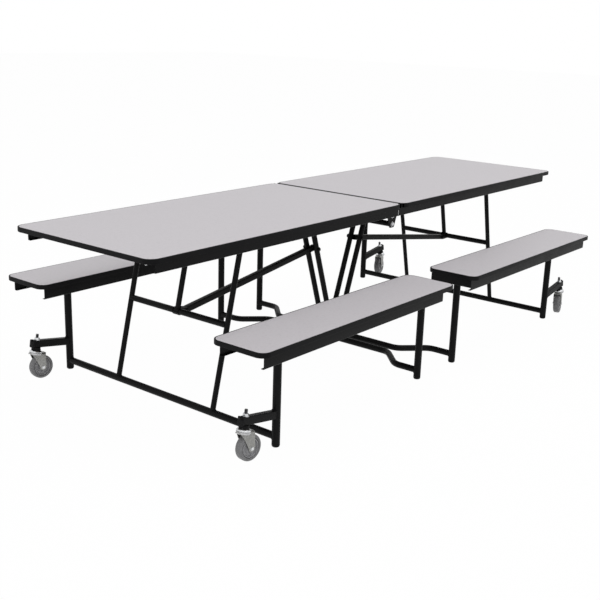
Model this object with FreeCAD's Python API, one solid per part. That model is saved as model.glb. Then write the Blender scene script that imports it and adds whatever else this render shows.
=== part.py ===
import FreeCAD, Part
import math
import os
from FreeCAD import Placement, Rotation, Vector

# Mobile folding cafeteria table with four attached benches, in millimetres.
# +X runs along the table, +Y across it, +Z up. The origin lies on the floor below the seam
# between the two halves. Each half is modelled on the +X side and mirrored for the other.

# ---- table top ----
TABLE_LENGTH = 3048.0
TABLE_WIDTH = 762.0
TABLE_HEIGHT = 737.0
SEAM_GAP = 3.0
BOARD_THICKNESS = 19.0
TOP_CORNER_RADIUS = 45.0
EDGE_BAND = 3.0
EDGE_ROUNDING = 1.5

# ---- sheet metal under the top ----
SHEET = 2.0
RAIL_INSET = 25.0
RAIL_DEPTH = 40.0
RAIL_FLANGE = 14.0
RAIL_OUTER_MARGIN = 49.0
RAIL_INNER_MARGIN = 2.0
CHANNEL_WIDTH = 40.0
CHANNEL_DEPTH = 15.0
INNER_CHANNEL_X = 600.0
OUTER_CHANNEL_MARGIN = 104.0
BRACKET_PLATE = 3.0
BRACKET_FLANGE = 30.0
MAIN_BRACKET_INNER = 67.0
MAIN_BRACKET_OUTER = 90.0
MAIN_BRACKET_DROP = 23.0
MAIN_BRACKET_CORNER = 14.0
INNER_BRACKET_HALF = 28.0
INNER_BRACKET_TIP_HALF = 12.0
INNER_BRACKET_DROP = 14.0

# ---- pivots of the fold, drawn on the +X half ----
PIVOT_DROP = 21.0
MAIN_PIVOT_X = 960.0
INNER_PIVOT_X = 240.0
HINGE_PIN_DROP = 43.0
STRUT_FOOT_X = 995.0
STRUT_FOOT_Z = 374.0
STRUT_HEAD_Z = 497.0
BOLT_RADIUS = 5.0
BOLT_FIT = 0.05
BOLT_HEAD = 6.0
BOLT_HEAD_RADIUS = 9.0
SIDE_CLEARANCE = 0.5
SEAT_CLEARANCE = 0.3

# ---- outer frame ----
POST_X = 1116.0
BENCH_Y = 600.0
POST_DIAMETER = 31.75
TUBE_WALL = 1.65
CROSSBAR_DIAMETER = 28.6
CROSSBAR_Z = 40.0
LEG_DIAMETER = 22.2
LEG_Y = 275.0
PIVOT_TUBE_DIAMETER = 25.4
PIVOT_PLUG = 20.0
MID_BAR_DIAMETER = 25.4
MID_BAR_Z = 378.0
SADDLE_PLATE = 3.0
SADDLE_END_RADIUS = 12.0

# ---- caster arm and caster ----
ARM_Z = 129.0
ARM_RISE = 9.5
ARM_WIDTH = 25.4
ARM_DEPTH = 31.75
ARM_WALL = 2.0
ARM_LENGTH = 195.0
CAP_PLATE = 4.0
CAP_PLUG = 10.0
CAP_OVERHANG = 1.5
CAP_KNOB_RADIUS = 8.0
STEM_ALONG_ARM = 174.0
STEM_RADIUS = 6.35
STEM_TOP = 26.0
NUT_HEIGHT = 11.0
NUT_RADIUS = 11.0
COLLAR_RADIUS = 20.0
COLLAR_HEIGHT = 12.0
RACE_RADIUS = 27.0
RACE_HEIGHT = 10.0
RIVET_RADIUS = 9.5
RIVET_HEIGHT = 3.0
FORK_SHEET = 3.0
FORK_CROWN_FRONT = 28.0
FORK_CROWN_BACK = 44.0
FORK_CHEEK_INSET = 6.0
FORK_AXLE_BOSS = 14.0
WHEEL_RADIUS = 50.8
WHEEL_WIDTH = 32.0
WHEEL_SIDE_GAP = 1.5
WHEEL_FLOOR_GAP = 2.0
WHEEL_HUB_RADIUS = 38.0
WHEEL_CORE_RADIUS = 12.0
HUB_BOSS_PROUD = 1.0
HUB_DISH_DEPTH = 9.0
HUB_RIM = 8.0
HUB_RIM_FACE = 5.0
HUB_RIM_STEP = 2.0
WHEEL_TRAIL = 32.0
WHEEL_EDGE_ROUNDING = 4.0
CASTER_HEADINGS = {
    ("left", "front"): 7.0,
    ("left", "rear"): 7.0,
    ("right", "front"): 16.0,
    ("right", "rear"): 16.0,
}

# ---- inner frame ----
INNER_LEG_DIAMETER = 25.4
INNER_LEG_Y = 28.0
INNER_LEG_FOOT_X = 16.0
INNER_LEG_HEAD = 10.0
INNER_POST_X = 150.0
BEND_BAR_X = 36.0
BEND_BAR_FLAT = 365.0
BEND_BAR_ANGLE = 45.0
BEND_RADIUS = 70.0

# ---- strut ----
STRUT_SIZE = 25.4
STRUT_CORNER = 4.0
STRUT_END = 14.0

# ---- centre link ----
LINK_PLATE = 4.0
LINK_PLATE_Y = 320.0
LINK_TOP_HALF = 36.0
LINK_BOTTOM_HALF = 16.0
LINK_TOP_RISE = 14.0
LINK_SHOULDER_DROP = 4.0
LINK_BOTTOM_DROP = 55.0
LINK_TUBE_DROP = 39.0
LINK_TUBE_DIAMETER = 25.4
LINK_CORNER = 8.0
HINGE_EAR_START = 6.0
HINGE_EAR_LENGTH = 110.0
HINGE_EAR_RADIUS = 14.0
HINGE_EAR_LAYER = {"left": 1, "right": 0}

# ---- post ends ----
GLIDE_HEIGHT = 12.0
GLIDE_FOOT_RADIUS = 12.0
GLIDE_INSERT = 20.0
GLIDE_BULGE = 1.0
GLIDE_BULGE_SHARE = 0.3
GLIDE_SHOULDER_SHARE = 0.7
GLIDE_INSERT_FIT = 0.1
BENCH_PIVOT_Z = 400.0
POST_ABOVE_PIVOT = 12.0

# ---- bench ----
BENCH_HEIGHT = 445.0
BENCH_WIDTH = 252.0
BENCH_INNER_X = 82.0
BENCH_OUTER_X = 1340.0
BENCH_CORNER_RADIUS = 40.0
APRON_DEPTH = 48.0
APRON_INSET = 23.0
APRON_OUTER_MARGIN = 30.0
APRON_INNER_MARGIN = {"left": 68.0, "right": 8.0}
END_CHANNEL_DEPTH = 36.0
BENCH_BRACKET_HALF = 30.0
BENCH_EAR_RADIUS = 12.0

# ---- places worked out from the sizes above ----
TOP_HALF_WIDTH = TABLE_WIDTH / 2
TOP_OUTER_X = TABLE_LENGTH / 2
TOP_INNER_X = SEAM_GAP / 2
TOP_UNDERSIDE = TABLE_HEIGHT - BOARD_THICKNESS
PIVOT_Z = TOP_UNDERSIDE - PIVOT_DROP
HINGE_PIN_Z = TOP_UNDERSIDE - HINGE_PIN_DROP
RAIL_FACE_Y = TOP_HALF_WIDTH - RAIL_INSET
EAR_FACE_Y = RAIL_FACE_Y - RAIL_FLANGE - SIDE_CLEARANCE
BENCH_UNDERSIDE = BENCH_HEIGHT - BOARD_THICKNESS
CHANNEL_PLACES = (INNER_CHANNEL_X, TOP_OUTER_X - OUTER_CHANNEL_MARGIN)
POST_RADIUS = POST_DIAMETER / 2
MAIN_PIVOT = Vector(MAIN_PIVOT_X, 0, PIVOT_Z)
INNER_PIVOT = Vector(INNER_PIVOT_X, 0, PIVOT_Z)
OUTER_FOOT = Vector(POST_X, 0, CROSSBAR_Z)
INNER_FOOT = Vector(INNER_LEG_FOOT_X, 0, CROSSBAR_Z)
STRUT_FOOT = Vector(STRUT_FOOT_X, 0, STRUT_FOOT_Z)
HINGE_PIN = Vector(0, 0, HINGE_PIN_Z)
LINK_TUBE_CENTRE = Vector(0, 0, HINGE_PIN_Z - LINK_TUBE_DROP)

SIDES = ("left", "right")
ROWS = ("front", "rear")


def point_at_height(start, end, z):
    """Point of the line from start to end at the height z."""
    share = (z - start.z) / (end.z - start.z)
    return start + (end - start) * share


MID_BAR_CENTRE = point_at_height(OUTER_FOOT, MAIN_PIVOT, MID_BAR_Z)
STRUT_HEAD = point_at_height(INNER_FOOT, INNER_PIVOT, STRUT_HEAD_Z)


def across(point, y):
    """The same point moved to the cross position y."""
    return Vector(point.x, y, point.z)


# ---- basic shapes ----
def box(x_range, y_range, z_range):
    """Block between two limits along each axis."""
    corner = Vector(x_range[0], y_range[0], z_range[0])
    return Part.makeBox(x_range[1] - x_range[0], y_range[1] - y_range[0], z_range[1] - z_range[0], corner)


def rod(start, end, radius):
    """Round bar between two points."""
    axis = end - start
    return Part.makeCylinder(radius, axis.Length, start, axis)


def tube(start, end, diameter, wall=TUBE_WALL):
    """Round tube between two points, open at both ends."""
    return rod(start, end, diameter / 2).cut(rod(start, end, diameter / 2 - wall))


def coped(shape, *bars):
    """Shape with its ends saddled to the round bars that it is welded to."""
    for start, end, diameter in bars:
        shape = shape.cut(rod(start, end, diameter / 2))
    return max(shape.Solids, key=lambda solid: solid.Volume)


def cross_rod(centre, y_range, radius):
    """Round bar along Y through a point of the XZ plane."""
    return rod(across(centre, y_range[0]), across(centre, y_range[1]), radius)


def hexagon(centre, axis, radius, height):
    """Hexagonal bolt head or nut that grows from centre along axis."""
    corners = []
    for turn in range(7):
        angle = math.radians(60 * turn)
        corners.append(Vector(radius * math.cos(angle), radius * math.sin(angle), 0))
    head = Part.Face(Part.makePolygon(corners)).extrude(Vector(0, 0, height))
    head.Placement = Placement(centre, Rotation(Vector(0, 0, 1), axis))
    return head


def bolt(centre, y_range, heads=(True, True), radius=BOLT_RADIUS):
    """Bolt along Y, with a head or nut outside either end of y_range."""
    shape = cross_rod(centre, y_range, radius)
    if heads[0]:
        head = hexagon(across(centre, y_range[0]), Vector(0, -1, 0), BOLT_HEAD_RADIUS, BOLT_HEAD)
        shape = shape.fuse(head)
    if heads[1]:
        nut = hexagon(across(centre, y_range[1]), Vector(0, 1, 0), BOLT_HEAD_RADIUS, BOLT_HEAD)
        shape = shape.fuse(nut)
    return shape.removeSplitter()


def plate(outline, y_range):
    """Flat plate from a closed list of XZ points, extruded between two cross positions."""
    points = [Vector(x, y_range[0], z) for x, z in outline]
    face = Part.Face(Part.makePolygon(points + [points[0]]))
    return face.extrude(Vector(0, y_range[1] - y_range[0], 0))


def drilled(shape, centre, y_range, radius=BOLT_RADIUS + BOLT_FIT):
    """Shape with a bolt hole along Y."""
    return shape.cut(cross_rod(centre, y_range, radius))


def mirrored_y(shape):
    """Copy on the other side of the plane Y = 0."""
    return shape.mirror(Vector(0, 0, 0), Vector(0, 1, 0))


def both_rows(shape):
    """The shape and its copy on the other side of the table."""
    return [shape, mirrored_y(shape)]


def rounded_board(x_range, y_range, z_range, radius):
    """Board with its four upright corners rounded."""
    board = box(x_range, y_range, z_range)
    uprights = [edge for edge in board.Edges if abs(edge.tangentAt(edge.FirstParameter).z) > 0.9]
    return board.makeFillet(radius, uprights)


def grown(limits, amount):
    """Pair of limits moved apart by amount at each end."""
    return (limits[0] - amount, limits[1] + amount)


def banded_board(x_range, y_range, top_z, corner_radius):
    """Core board and the edge moulding that runs round it."""
    z_range = (top_z - BOARD_THICKNESS, top_z)
    core_limits = [grown(limits, -EDGE_BAND) for limits in (x_range, y_range)]
    core = rounded_board(*core_limits, z_range, corner_radius - EDGE_BAND)
    blank = rounded_board(x_range, y_range, z_range, corner_radius)
    rims = [edge for edge in blank.Edges if abs(edge.BoundBox.ZLength) < 1e-6]
    band = blank.makeFillet(EDGE_ROUNDING, rims).cut(core)
    return core, band


def channel(x_range, face_y, top_z, depth, flange, open_towards):
    """C channel along X: upright web at face_y and two flanges towards open_towards (+1 or -1)."""
    inner_y = face_y + open_towards * SHEET
    lip_y = face_y + open_towards * flange
    bottom_z = top_z - depth
    web = box(x_range, sorted((face_y, inner_y)), (bottom_z, top_z))
    upper = box(x_range, sorted((inner_y, lip_y)), (top_z - SHEET, top_z))
    lower = box(x_range, sorted((inner_y, lip_y)), (bottom_z, bottom_z + SHEET))
    return web.fuse([upper, lower]).removeSplitter()


# ---- table top ----
def top_board():
    """Laminated half board and its black moulding."""
    x_range = (TOP_INNER_X, TOP_OUTER_X)
    return banded_board(x_range, (-TOP_HALF_WIDTH, TOP_HALF_WIDTH), TABLE_HEIGHT, TOP_CORNER_RADIUS)


def side_rails():
    """Two C rails under the long edges and the shallow channels between them."""
    x_range = (RAIL_INNER_MARGIN, TOP_OUTER_X - RAIL_OUTER_MARGIN)
    rails = both_rows(channel(x_range, -RAIL_FACE_Y, TOP_UNDERSIDE, RAIL_DEPTH, RAIL_FLANGE, 1))
    return rails + [cross_channel(place) for place in CHANNEL_PLACES]


def cross_channel(centre_x):
    """Shallow U channel screwed under the board, between the flanges of the two rails."""
    reach = RAIL_FACE_Y - RAIL_FLANGE
    half = CHANNEL_WIDTH / 2
    z_range = (TOP_UNDERSIDE - CHANNEL_DEPTH, TOP_UNDERSIDE)
    outer = box((centre_x - half, centre_x + half), (-reach, reach), z_range)
    inner_x = (centre_x - half + SHEET, centre_x + half - SHEET)
    hollow = box(inner_x, (-reach, reach), (z_range[0] + SHEET, z_range[1]))
    return outer.cut(hollow)


def main_pivot_bracket():
    """Angle under the board whose ear carries one end of the outer frame's pivot tube."""
    ear_y = (-EAR_FACE_Y, -EAR_FACE_Y + BRACKET_PLATE)
    flange_y = (-EAR_FACE_Y, -EAR_FACE_Y + BRACKET_FLANGE)
    x_min = MAIN_PIVOT_X - MAIN_BRACKET_INNER
    x_max = MAIN_PIVOT_X + MAIN_BRACKET_OUTER
    low = PIVOT_Z - MAIN_BRACKET_DROP
    corner = MAIN_BRACKET_CORNER
    outline = [
        (x_min, TOP_UNDERSIDE), (x_min, low + corner), (x_min + corner, low),
        (x_max - corner, low), (x_max, low + corner), (x_max, TOP_UNDERSIDE),
    ]
    ear = drilled(plate(outline, ear_y), MAIN_PIVOT, ear_y)
    flange = box((x_min, x_max), flange_y, (TOP_UNDERSIDE - BRACKET_PLATE, TOP_UNDERSIDE))
    return ear.fuse(flange).removeSplitter()


def inner_pivot_bracket():
    """Strap under the board with two ears that carry the inner legs."""
    ear_inner = INNER_LEG_Y + INNER_LEG_DIAMETER / 2 + SIDE_CLEARANCE
    ear_outer = ear_inner + BRACKET_PLATE
    reach = ear_outer + BRACKET_FLANGE
    strap_x = grown((INNER_PIVOT_X, INNER_PIVOT_X), INNER_BRACKET_HALF)
    tip_x = grown((INNER_PIVOT_X, INNER_PIVOT_X), INNER_BRACKET_TIP_HALF)
    strap = box(strap_x, (-reach, reach), (TOP_UNDERSIDE - BRACKET_PLATE, TOP_UNDERSIDE))
    low = PIVOT_Z - INNER_BRACKET_DROP
    outline = [
        (strap_x[0], TOP_UNDERSIDE), (tip_x[0], low), (tip_x[1], low), (strap_x[1], TOP_UNDERSIDE),
    ]
    ear_y = (-ear_outer, -ear_inner)
    ear = drilled(plate(outline, ear_y), INNER_PIVOT, ear_y)
    return strap.fuse(both_rows(ear)).removeSplitter()


def hinge_ear(side):
    """Angle under the board whose ear reaches the hinge pin, beside the other half's ear."""
    near_y = -LINK_PLATE_Y + SIDE_CLEARANCE + HINGE_EAR_LAYER[side] * (BRACKET_PLATE + SIDE_CLEARANCE)
    ear_y = (near_y, near_y + BRACKET_PLATE)
    reach = HINGE_EAR_RADIUS * math.sqrt(0.5)
    outline = [
        (HINGE_EAR_START, TOP_UNDERSIDE), (0, HINGE_PIN_Z), (reach, HINGE_PIN_Z - reach),
        (reach + HINGE_EAR_RADIUS, HINGE_PIN_Z - reach + HINGE_EAR_RADIUS),
        (HINGE_EAR_LENGTH, TOP_UNDERSIDE - BRACKET_PLATE), (HINGE_EAR_LENGTH, TOP_UNDERSIDE),
    ]
    ear = plate(outline, ear_y).fuse(cross_rod(HINGE_PIN, ear_y, HINGE_EAR_RADIUS))
    flange_z = (TOP_UNDERSIDE - BRACKET_PLATE, TOP_UNDERSIDE)
    flange = box((HINGE_EAR_START, HINGE_EAR_LENGTH), (near_y, near_y + BRACKET_FLANGE), flange_z)
    return drilled(ear.fuse(flange).removeSplitter(), HINGE_PIN, ear_y)


def top_brackets(side):
    """All pivot and hinge brackets of one half."""
    return both_rows(main_pivot_bracket()) + [inner_pivot_bracket()] + both_rows(hinge_ear(side))


def top_bolts():
    """Pivot bolts that the top turns on: two at the outer frame and one at the inner legs."""
    tip = EAR_FACE_Y - BRACKET_PLATE - SIDE_CLEARANCE - PIVOT_PLUG
    main = bolt(MAIN_PIVOT, (-EAR_FACE_Y, -tip), heads=(True, False))
    reach = INNER_LEG_Y + INNER_LEG_DIAMETER / 2 + SIDE_CLEARANCE + BRACKET_PLATE
    return both_rows(main) + [bolt(INNER_PIVOT, (-reach, reach))]


# ---- outer frame ----
def outer_crossbar_axis():
    """Axis of the low crossbar that joins the two bench posts."""
    return across(OUTER_FOOT, -BENCH_Y), across(OUTER_FOOT, BENCH_Y), CROSSBAR_DIAMETER


def post_axis(x, y, top_z):
    """Axis and diameter of an upright bench post."""
    return Vector(x, y, GLIDE_HEIGHT), Vector(x, y, top_z), POST_DIAMETER


def outer_crossbar():
    """Low crossbar, saddled to both outer posts."""
    start, end, diameter = outer_crossbar_axis()
    posts = [post_axis(POST_X, y, BENCH_PIVOT_Z) for y in (-BENCH_Y, BENCH_Y)]
    return coped(tube(start, end, diameter), *posts)


def outer_post(y):
    """Outer bench post with the bench's pivot hole near its head."""
    top_z = BENCH_PIVOT_Z + POST_ABOVE_PIVOT
    post = tube(*post_axis(POST_X, y, top_z))
    return drilled(post, Vector(POST_X, 0, BENCH_PIVOT_Z), grown((y, y), POST_DIAMETER))


def pivot_tube_reach():
    """Half length of the pivot tube between the two ears of the top."""
    return EAR_FACE_Y - BRACKET_PLATE - SIDE_CLEARANCE


def pivot_tube_axis():
    """Axis and diameter of the tube that the top turns on."""
    reach = pivot_tube_reach()
    return across(MAIN_PIVOT, -reach), across(MAIN_PIVOT, reach), PIVOT_TUBE_DIAMETER


def mid_bar_axis():
    """Axis and diameter of the bar between the two inclined legs."""
    return across(MID_BAR_CENTRE, -LEG_Y), across(MID_BAR_CENTRE, LEG_Y), MID_BAR_DIAMETER


def leg_axis(y):
    """Axis and diameter of one inclined leg."""
    return across(OUTER_FOOT, y), across(MAIN_PIVOT, y), LEG_DIAMETER


def outer_legs():
    """Two inclined legs and the shorter centre leg that rises from the mid bar."""
    legs = [coped(tube(*leg_axis(y)), outer_crossbar_axis(), pivot_tube_axis()) for y in (-LEG_Y, LEG_Y)]
    centre = coped(tube(MID_BAR_CENTRE, MAIN_PIVOT, LEG_DIAMETER), mid_bar_axis(), pivot_tube_axis())
    return legs + [centre]


def pivot_tube():
    """Tube across the leg heads, plugged and bored at both ends for the pivot bolts."""
    start, end, diameter = pivot_tube_axis()
    body = tube(start, end, diameter)
    for sign in (-1, 1):
        ends = sorted((sign * pivot_tube_reach(), sign * (pivot_tube_reach() - PIVOT_PLUG)))
        body = body.fuse(cross_rod(MAIN_PIVOT, ends, diameter / 2))
        body = drilled(body, MAIN_PIVOT, ends)
    return body.removeSplitter()


def mid_bar():
    """Bar between the two inclined legs."""
    return coped(tube(*mid_bar_axis()), leg_axis(-LEG_Y), leg_axis(LEG_Y))


def saddle_bracket():
    """U bracket that wraps the mid bar from below and holds the strut's foot."""
    inner = STRUT_SIZE / 2 + SIDE_CLEARANCE
    outer = inner + SADDLE_PLATE
    bar_radius = MID_BAR_DIAMETER / 2
    wrap_radius = bar_radius + SADDLE_PLATE
    ear_y = (-outer, -inner)
    reach = MID_BAR_CENTRE - STRUT_FOOT
    side = Vector(-reach.z, 0, reach.x).normalize()
    corners = [
        STRUT_FOOT + side * SADDLE_END_RADIUS, MID_BAR_CENTRE + side * wrap_radius,
        MID_BAR_CENTRE - side * wrap_radius, STRUT_FOOT - side * SADDLE_END_RADIUS,
    ]
    ear = plate([(corner.x, corner.z) for corner in corners], ear_y)
    ends = [
        cross_rod(STRUT_FOOT, ear_y, SADDLE_END_RADIUS), cross_rod(MID_BAR_CENTRE, ear_y, wrap_radius),
    ]
    ear = ear.fuse(ends)
    ear = drilled(ear.removeSplitter(), STRUT_FOOT, ear_y)
    wrap = cross_rod(MID_BAR_CENTRE, (-inner, inner), wrap_radius)
    low_half = box(
        grown((MID_BAR_CENTRE.x, MID_BAR_CENTRE.x), wrap_radius), (-inner, inner),
        (MID_BAR_CENTRE.z - wrap_radius, MID_BAR_CENTRE.z),
    )
    strut_room = box(
        (STRUT_FOOT.x - STRUT_END, STRUT_FOOT.x + STRUT_END + SIDE_CLEARANCE), (-inner, inner),
        (MID_BAR_CENTRE.z - wrap_radius, MID_BAR_CENTRE.z),
    )
    wrap = wrap.common(low_half).cut(strut_room)
    bracket = wrap.fuse(both_rows(ear)).removeSplitter()
    return bracket.cut(cross_rod(MID_BAR_CENTRE, (-outer, outer), bar_radius))


def saddle_bolt():
    """Bolt through the saddle bracket that the strut's foot turns on."""
    outer = STRUT_SIZE / 2 + SIDE_CLEARANCE + SADDLE_PLATE
    return bolt(STRUT_FOOT, (-outer, outer))


# ---- caster arm, in its own frame: x along the arm, z along the stem ----
def arm_placement(y):
    """Where the arm's own frame sits on the post at the cross position y."""
    return Placement(Vector(POST_X, y, ARM_Z), Rotation(Vector(0, 1, 0), -ARM_RISE))


def placed(shape, placement):
    """Copy of a shape moved by a placement."""
    copy = shape.copy()
    copy.Placement = placement.multiply(copy.Placement)
    return copy


def caster_arm(y):
    """Rectangular tube from the post out to the caster stem, drilled for the stem."""
    outer = box((0, ARM_LENGTH), grown((0, 0), ARM_WIDTH / 2), grown((0, 0), ARM_DEPTH / 2))
    hollow_y = grown((0, 0), ARM_WIDTH / 2 - ARM_WALL)
    hollow_z = grown((0, 0), ARM_DEPTH / 2 - ARM_WALL)
    arm = outer.cut(box((0, ARM_LENGTH), hollow_y, hollow_z))
    stem = rod(Vector(STEM_ALONG_ARM, 0, -ARM_DEPTH), Vector(STEM_ALONG_ARM, 0, ARM_DEPTH), STEM_RADIUS)
    return coped(placed(arm.cut(stem), arm_placement(y)), post_axis(POST_X, y, BENCH_PIVOT_Z))


def arm_cap(y):
    """Plastic plug in the arm's end, with a rounded bumper knob on its face."""
    half_y = ARM_WIDTH / 2
    half_z = ARM_DEPTH / 2
    face = box(
        (ARM_LENGTH, ARM_LENGTH + CAP_PLATE), grown((0, 0), half_y + CAP_OVERHANG),
        grown((0, 0), half_z + CAP_OVERHANG),
    )
    face = face.makeFillet(CAP_OVERHANG, face.Edges)
    inset = ARM_WALL + GLIDE_INSERT_FIT
    plug = box(
        (ARM_LENGTH - CAP_PLUG, ARM_LENGTH + CAP_PLATE / 2), grown((0, 0), half_y - inset),
        grown((0, 0), half_z - inset),
    )
    inside = ARM_LENGTH + CAP_PLATE / 2
    knob = Part.makeSphere(CAP_KNOB_RADIUS, Vector(inside, 0, half_z - CAP_KNOB_RADIUS / 2))
    beyond = box((inside, ARM_LENGTH + 2 * CAP_KNOB_RADIUS), (-half_y, half_y), (-half_z, 2 * half_z))
    return placed(face.fuse([plug, knob.common(beyond)]).removeSplitter(), arm_placement(y))


def stem_levels():
    """Heights of the stem's parts in the arm's frame: collar, race and fork crown undersides."""
    collar = -ARM_DEPTH / 2 - COLLAR_HEIGHT
    race = collar - RACE_HEIGHT
    crown = race - SEAT_CLEARANCE - FORK_SHEET
    return collar, race, crown


def caster_stem(y):
    """Threaded stem with its nut, black collar, pressed race and the kingpin's riveted head."""
    collar_z, race_z, crown_z = stem_levels()
    centre = Vector(STEM_ALONG_ARM, 0, 0)
    up = Vector(0, 0, 1)
    arm_top = ARM_DEPTH / 2
    head_z = crown_z - SEAT_CLEARANCE
    shaft = rod(centre + up * (head_z - RIVET_HEIGHT), centre + up * (arm_top + STEM_TOP), STEM_RADIUS)
    nut = hexagon(centre + up * arm_top, up, NUT_RADIUS, NUT_HEIGHT)
    head = rod(centre + up * (head_z - RIVET_HEIGHT), centre + up * head_z, RIVET_RADIUS)
    race = Part.makeCone(RACE_RADIUS, COLLAR_RADIUS, RACE_HEIGHT, centre + up * race_z, up)
    steel = shaft.fuse([nut, head, race]).removeSplitter()
    collar = rod(centre + up * collar_z, centre - up * arm_top, COLLAR_RADIUS).cut(steel)
    return [placed(steel, arm_placement(y)), placed(collar, arm_placement(y))]


def axle_depth():
    """Distance of the axle below the arm's axis, so that the wheel clears the floor."""
    rise = math.radians(ARM_RISE)
    along = STEM_ALONG_ARM - WHEEL_TRAIL
    axle_z = WHEEL_RADIUS + WHEEL_FLOOR_GAP
    return (ARM_Z + along * math.sin(rise) - axle_z) / math.cos(rise)


def caster_placement(y, heading):
    """Frame of a swivelled caster: origin on the stem at the arm's axis."""
    swivel = Placement(Vector(STEM_ALONG_ARM, 0, 0), Rotation(Vector(0, 0, 1), heading))
    return arm_placement(y).multiply(swivel)


def caster_fork(y, heading):
    """Pressed fork: a crown on the race, two cheeks that taper to the axle, and the axle bolt."""
    crown_z = stem_levels()[2]
    axle = Vector(-WHEEL_TRAIL, 0, -axle_depth())
    inner = WHEEL_WIDTH / 2 + WHEEL_SIDE_GAP
    outer = inner + FORK_SHEET
    front, back = FORK_CROWN_FRONT, -FORK_CROWN_BACK
    crown = rounded_board((back, front), (-outer, outer), (crown_z, crown_z + FORK_SHEET), outer / 2)
    cheek_y = (-outer, -inner)
    outline = [
        (back + FORK_CHEEK_INSET, crown_z + FORK_SHEET), (front - FORK_CHEEK_INSET, crown_z + FORK_SHEET),
        (axle.x + FORK_AXLE_BOSS, axle.z), (axle.x - FORK_AXLE_BOSS, axle.z),
    ]
    cheek = plate(outline, cheek_y).fuse(cross_rod(axle, cheek_y, FORK_AXLE_BOSS))
    kingpin = rod(Vector(0, 0, -axle_depth()), Vector(0, 0, 0), STEM_RADIUS + BOLT_FIT)
    fork = crown.fuse(both_rows(cheek)).cut(kingpin).fuse(bolt(axle, (-outer, outer)))
    return placed(fork.removeSplitter(), caster_placement(y, heading))


def caster_wheel(y, heading):
    """Grey tyre on a dished hub that runs on the fork's axle bolt."""
    half = WHEEL_WIDTH / 2
    rounding = WHEEL_EDGE_ROUNDING
    tyre = Part.makeCylinder(WHEEL_RADIUS, WHEEL_WIDTH, Vector(0, -half, 0), Vector(0, 1, 0))
    tyre = tyre.makeFillet(rounding, [edge for edge in tyre.Edges if edge.Closed])
    axis = (Vector(0, -half, 0), Vector(0, half, 0))
    tyre = tyre.cut(rod(*axis, WHEEL_HUB_RADIUS))
    boss = half + HUB_BOSS_PROUD
    dish = half - HUB_DISH_DEPTH
    rim = half - HUB_RIM_STEP
    profile = [
        (BOLT_RADIUS + BOLT_FIT, boss), (WHEEL_CORE_RADIUS, boss), (WHEEL_CORE_RADIUS, dish),
        (WHEEL_HUB_RADIUS - HUB_RIM, dish), (WHEEL_HUB_RADIUS - HUB_RIM_FACE, rim), (WHEEL_HUB_RADIUS, rim),
    ]
    points = [Vector(radius, place, 0) for radius, place in profile]
    points += [Vector(radius, -place, 0) for radius, place in reversed(profile)]
    section = Part.Face(Part.makePolygon(points + [points[0]]))
    hub = section.revolve(Vector(0, 0, 0), Vector(0, 1, 0), 360)
    centre = Placement(Vector(-WHEEL_TRAIL, 0, -axle_depth()), Rotation())
    place = caster_placement(y, heading).multiply(centre)
    return [placed(tyre, place), placed(hub, place)]


# ---- post ends ----
def glide(x, y):
    """Plastic glide plugged into the bottom of a post."""
    insert = POST_RADIUS - TUBE_WALL - GLIDE_INSERT_FIT
    start = Vector(GLIDE_FOOT_RADIUS, 0, 0)
    middle = Vector(POST_RADIUS - GLIDE_BULGE, 0, GLIDE_HEIGHT * GLIDE_BULGE_SHARE)
    shoulder = Vector(POST_RADIUS, 0, GLIDE_HEIGHT * GLIDE_SHOULDER_SHARE)
    upper = [
        shoulder, Vector(POST_RADIUS, 0, GLIDE_HEIGHT), Vector(insert, 0, GLIDE_HEIGHT),
        Vector(insert, 0, GLIDE_HEIGHT + GLIDE_INSERT), Vector(0, 0, GLIDE_HEIGHT + GLIDE_INSERT),
        Vector(0, 0, 0), start,
    ]
    wire = Part.Wire([Part.Arc(start, middle, shoulder).toShape()] + Part.makePolygon(upper).Edges)
    body = Part.Face(wire).revolve(Vector(0, 0, 0), Vector(0, 0, 1), 360)
    return placed(body, Placement(Vector(x, y, 0), Rotation()))


def rest_cap(x, y):
    """Domed plastic cap in the head of an inner post, which the bench rests on."""
    head_z = BENCH_UNDERSIDE - SEAT_CLEARANCE - POST_RADIUS
    insert = POST_RADIUS - TUBE_WALL - GLIDE_INSERT_FIT
    dome = Part.makeSphere(POST_RADIUS, Vector(x, y, head_z), Vector(0, 0, 1), 0, 90, 360)
    stub = rod(Vector(x, y, head_z - GLIDE_INSERT), Vector(x, y, head_z), insert)
    return dome.fuse(stub).removeSplitter()


# ---- inner frame ----
def inner_leg_axis(y):
    """Axis of one inner leg, a little past its pivot at the head."""
    along = (INNER_PIVOT - INNER_FOOT).normalize()
    return across(INNER_FOOT, y), across(INNER_PIVOT + along * INNER_LEG_HEAD, y), INNER_LEG_DIAMETER


def bend_bar_route():
    """Corner points of the bent crossbar's axis, from front post to rear post."""
    run = (INNER_POST_X - BEND_BAR_X) / math.tan(math.radians(BEND_BAR_ANGLE))
    front = [
        Vector(INNER_POST_X, -BENCH_Y, CROSSBAR_Z), Vector(INNER_POST_X, -BEND_BAR_FLAT - run, CROSSBAR_Z),
        Vector(BEND_BAR_X, -BEND_BAR_FLAT, CROSSBAR_Z),
    ]
    return front + [Vector(point.x, -point.y, point.z) for point in reversed(front)]


def bent_path(corners, radius):
    """Wire through the corners with a tangent arc of the given radius at each bend."""
    edges = []
    last = corners[0]
    for before, corner, after in zip(corners, corners[1:], corners[2:]):
        come = (corner - before).normalize()
        leave = (after - corner).normalize()
        half_turn = come.getAngle(leave) / 2
        cut = radius * math.tan(half_turn)
        start = corner - come * cut
        end = corner + leave * cut
        inward = (leave - come).normalize()
        middle = corner + inward * (radius / math.cos(half_turn) - radius)
        edges.append(Part.makeLine(last, start))
        edges.append(Part.Arc(start, middle, end).toShape())
        last = end
    edges.append(Part.makeLine(last, corners[-1]))
    return Part.Wire(edges)


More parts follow.
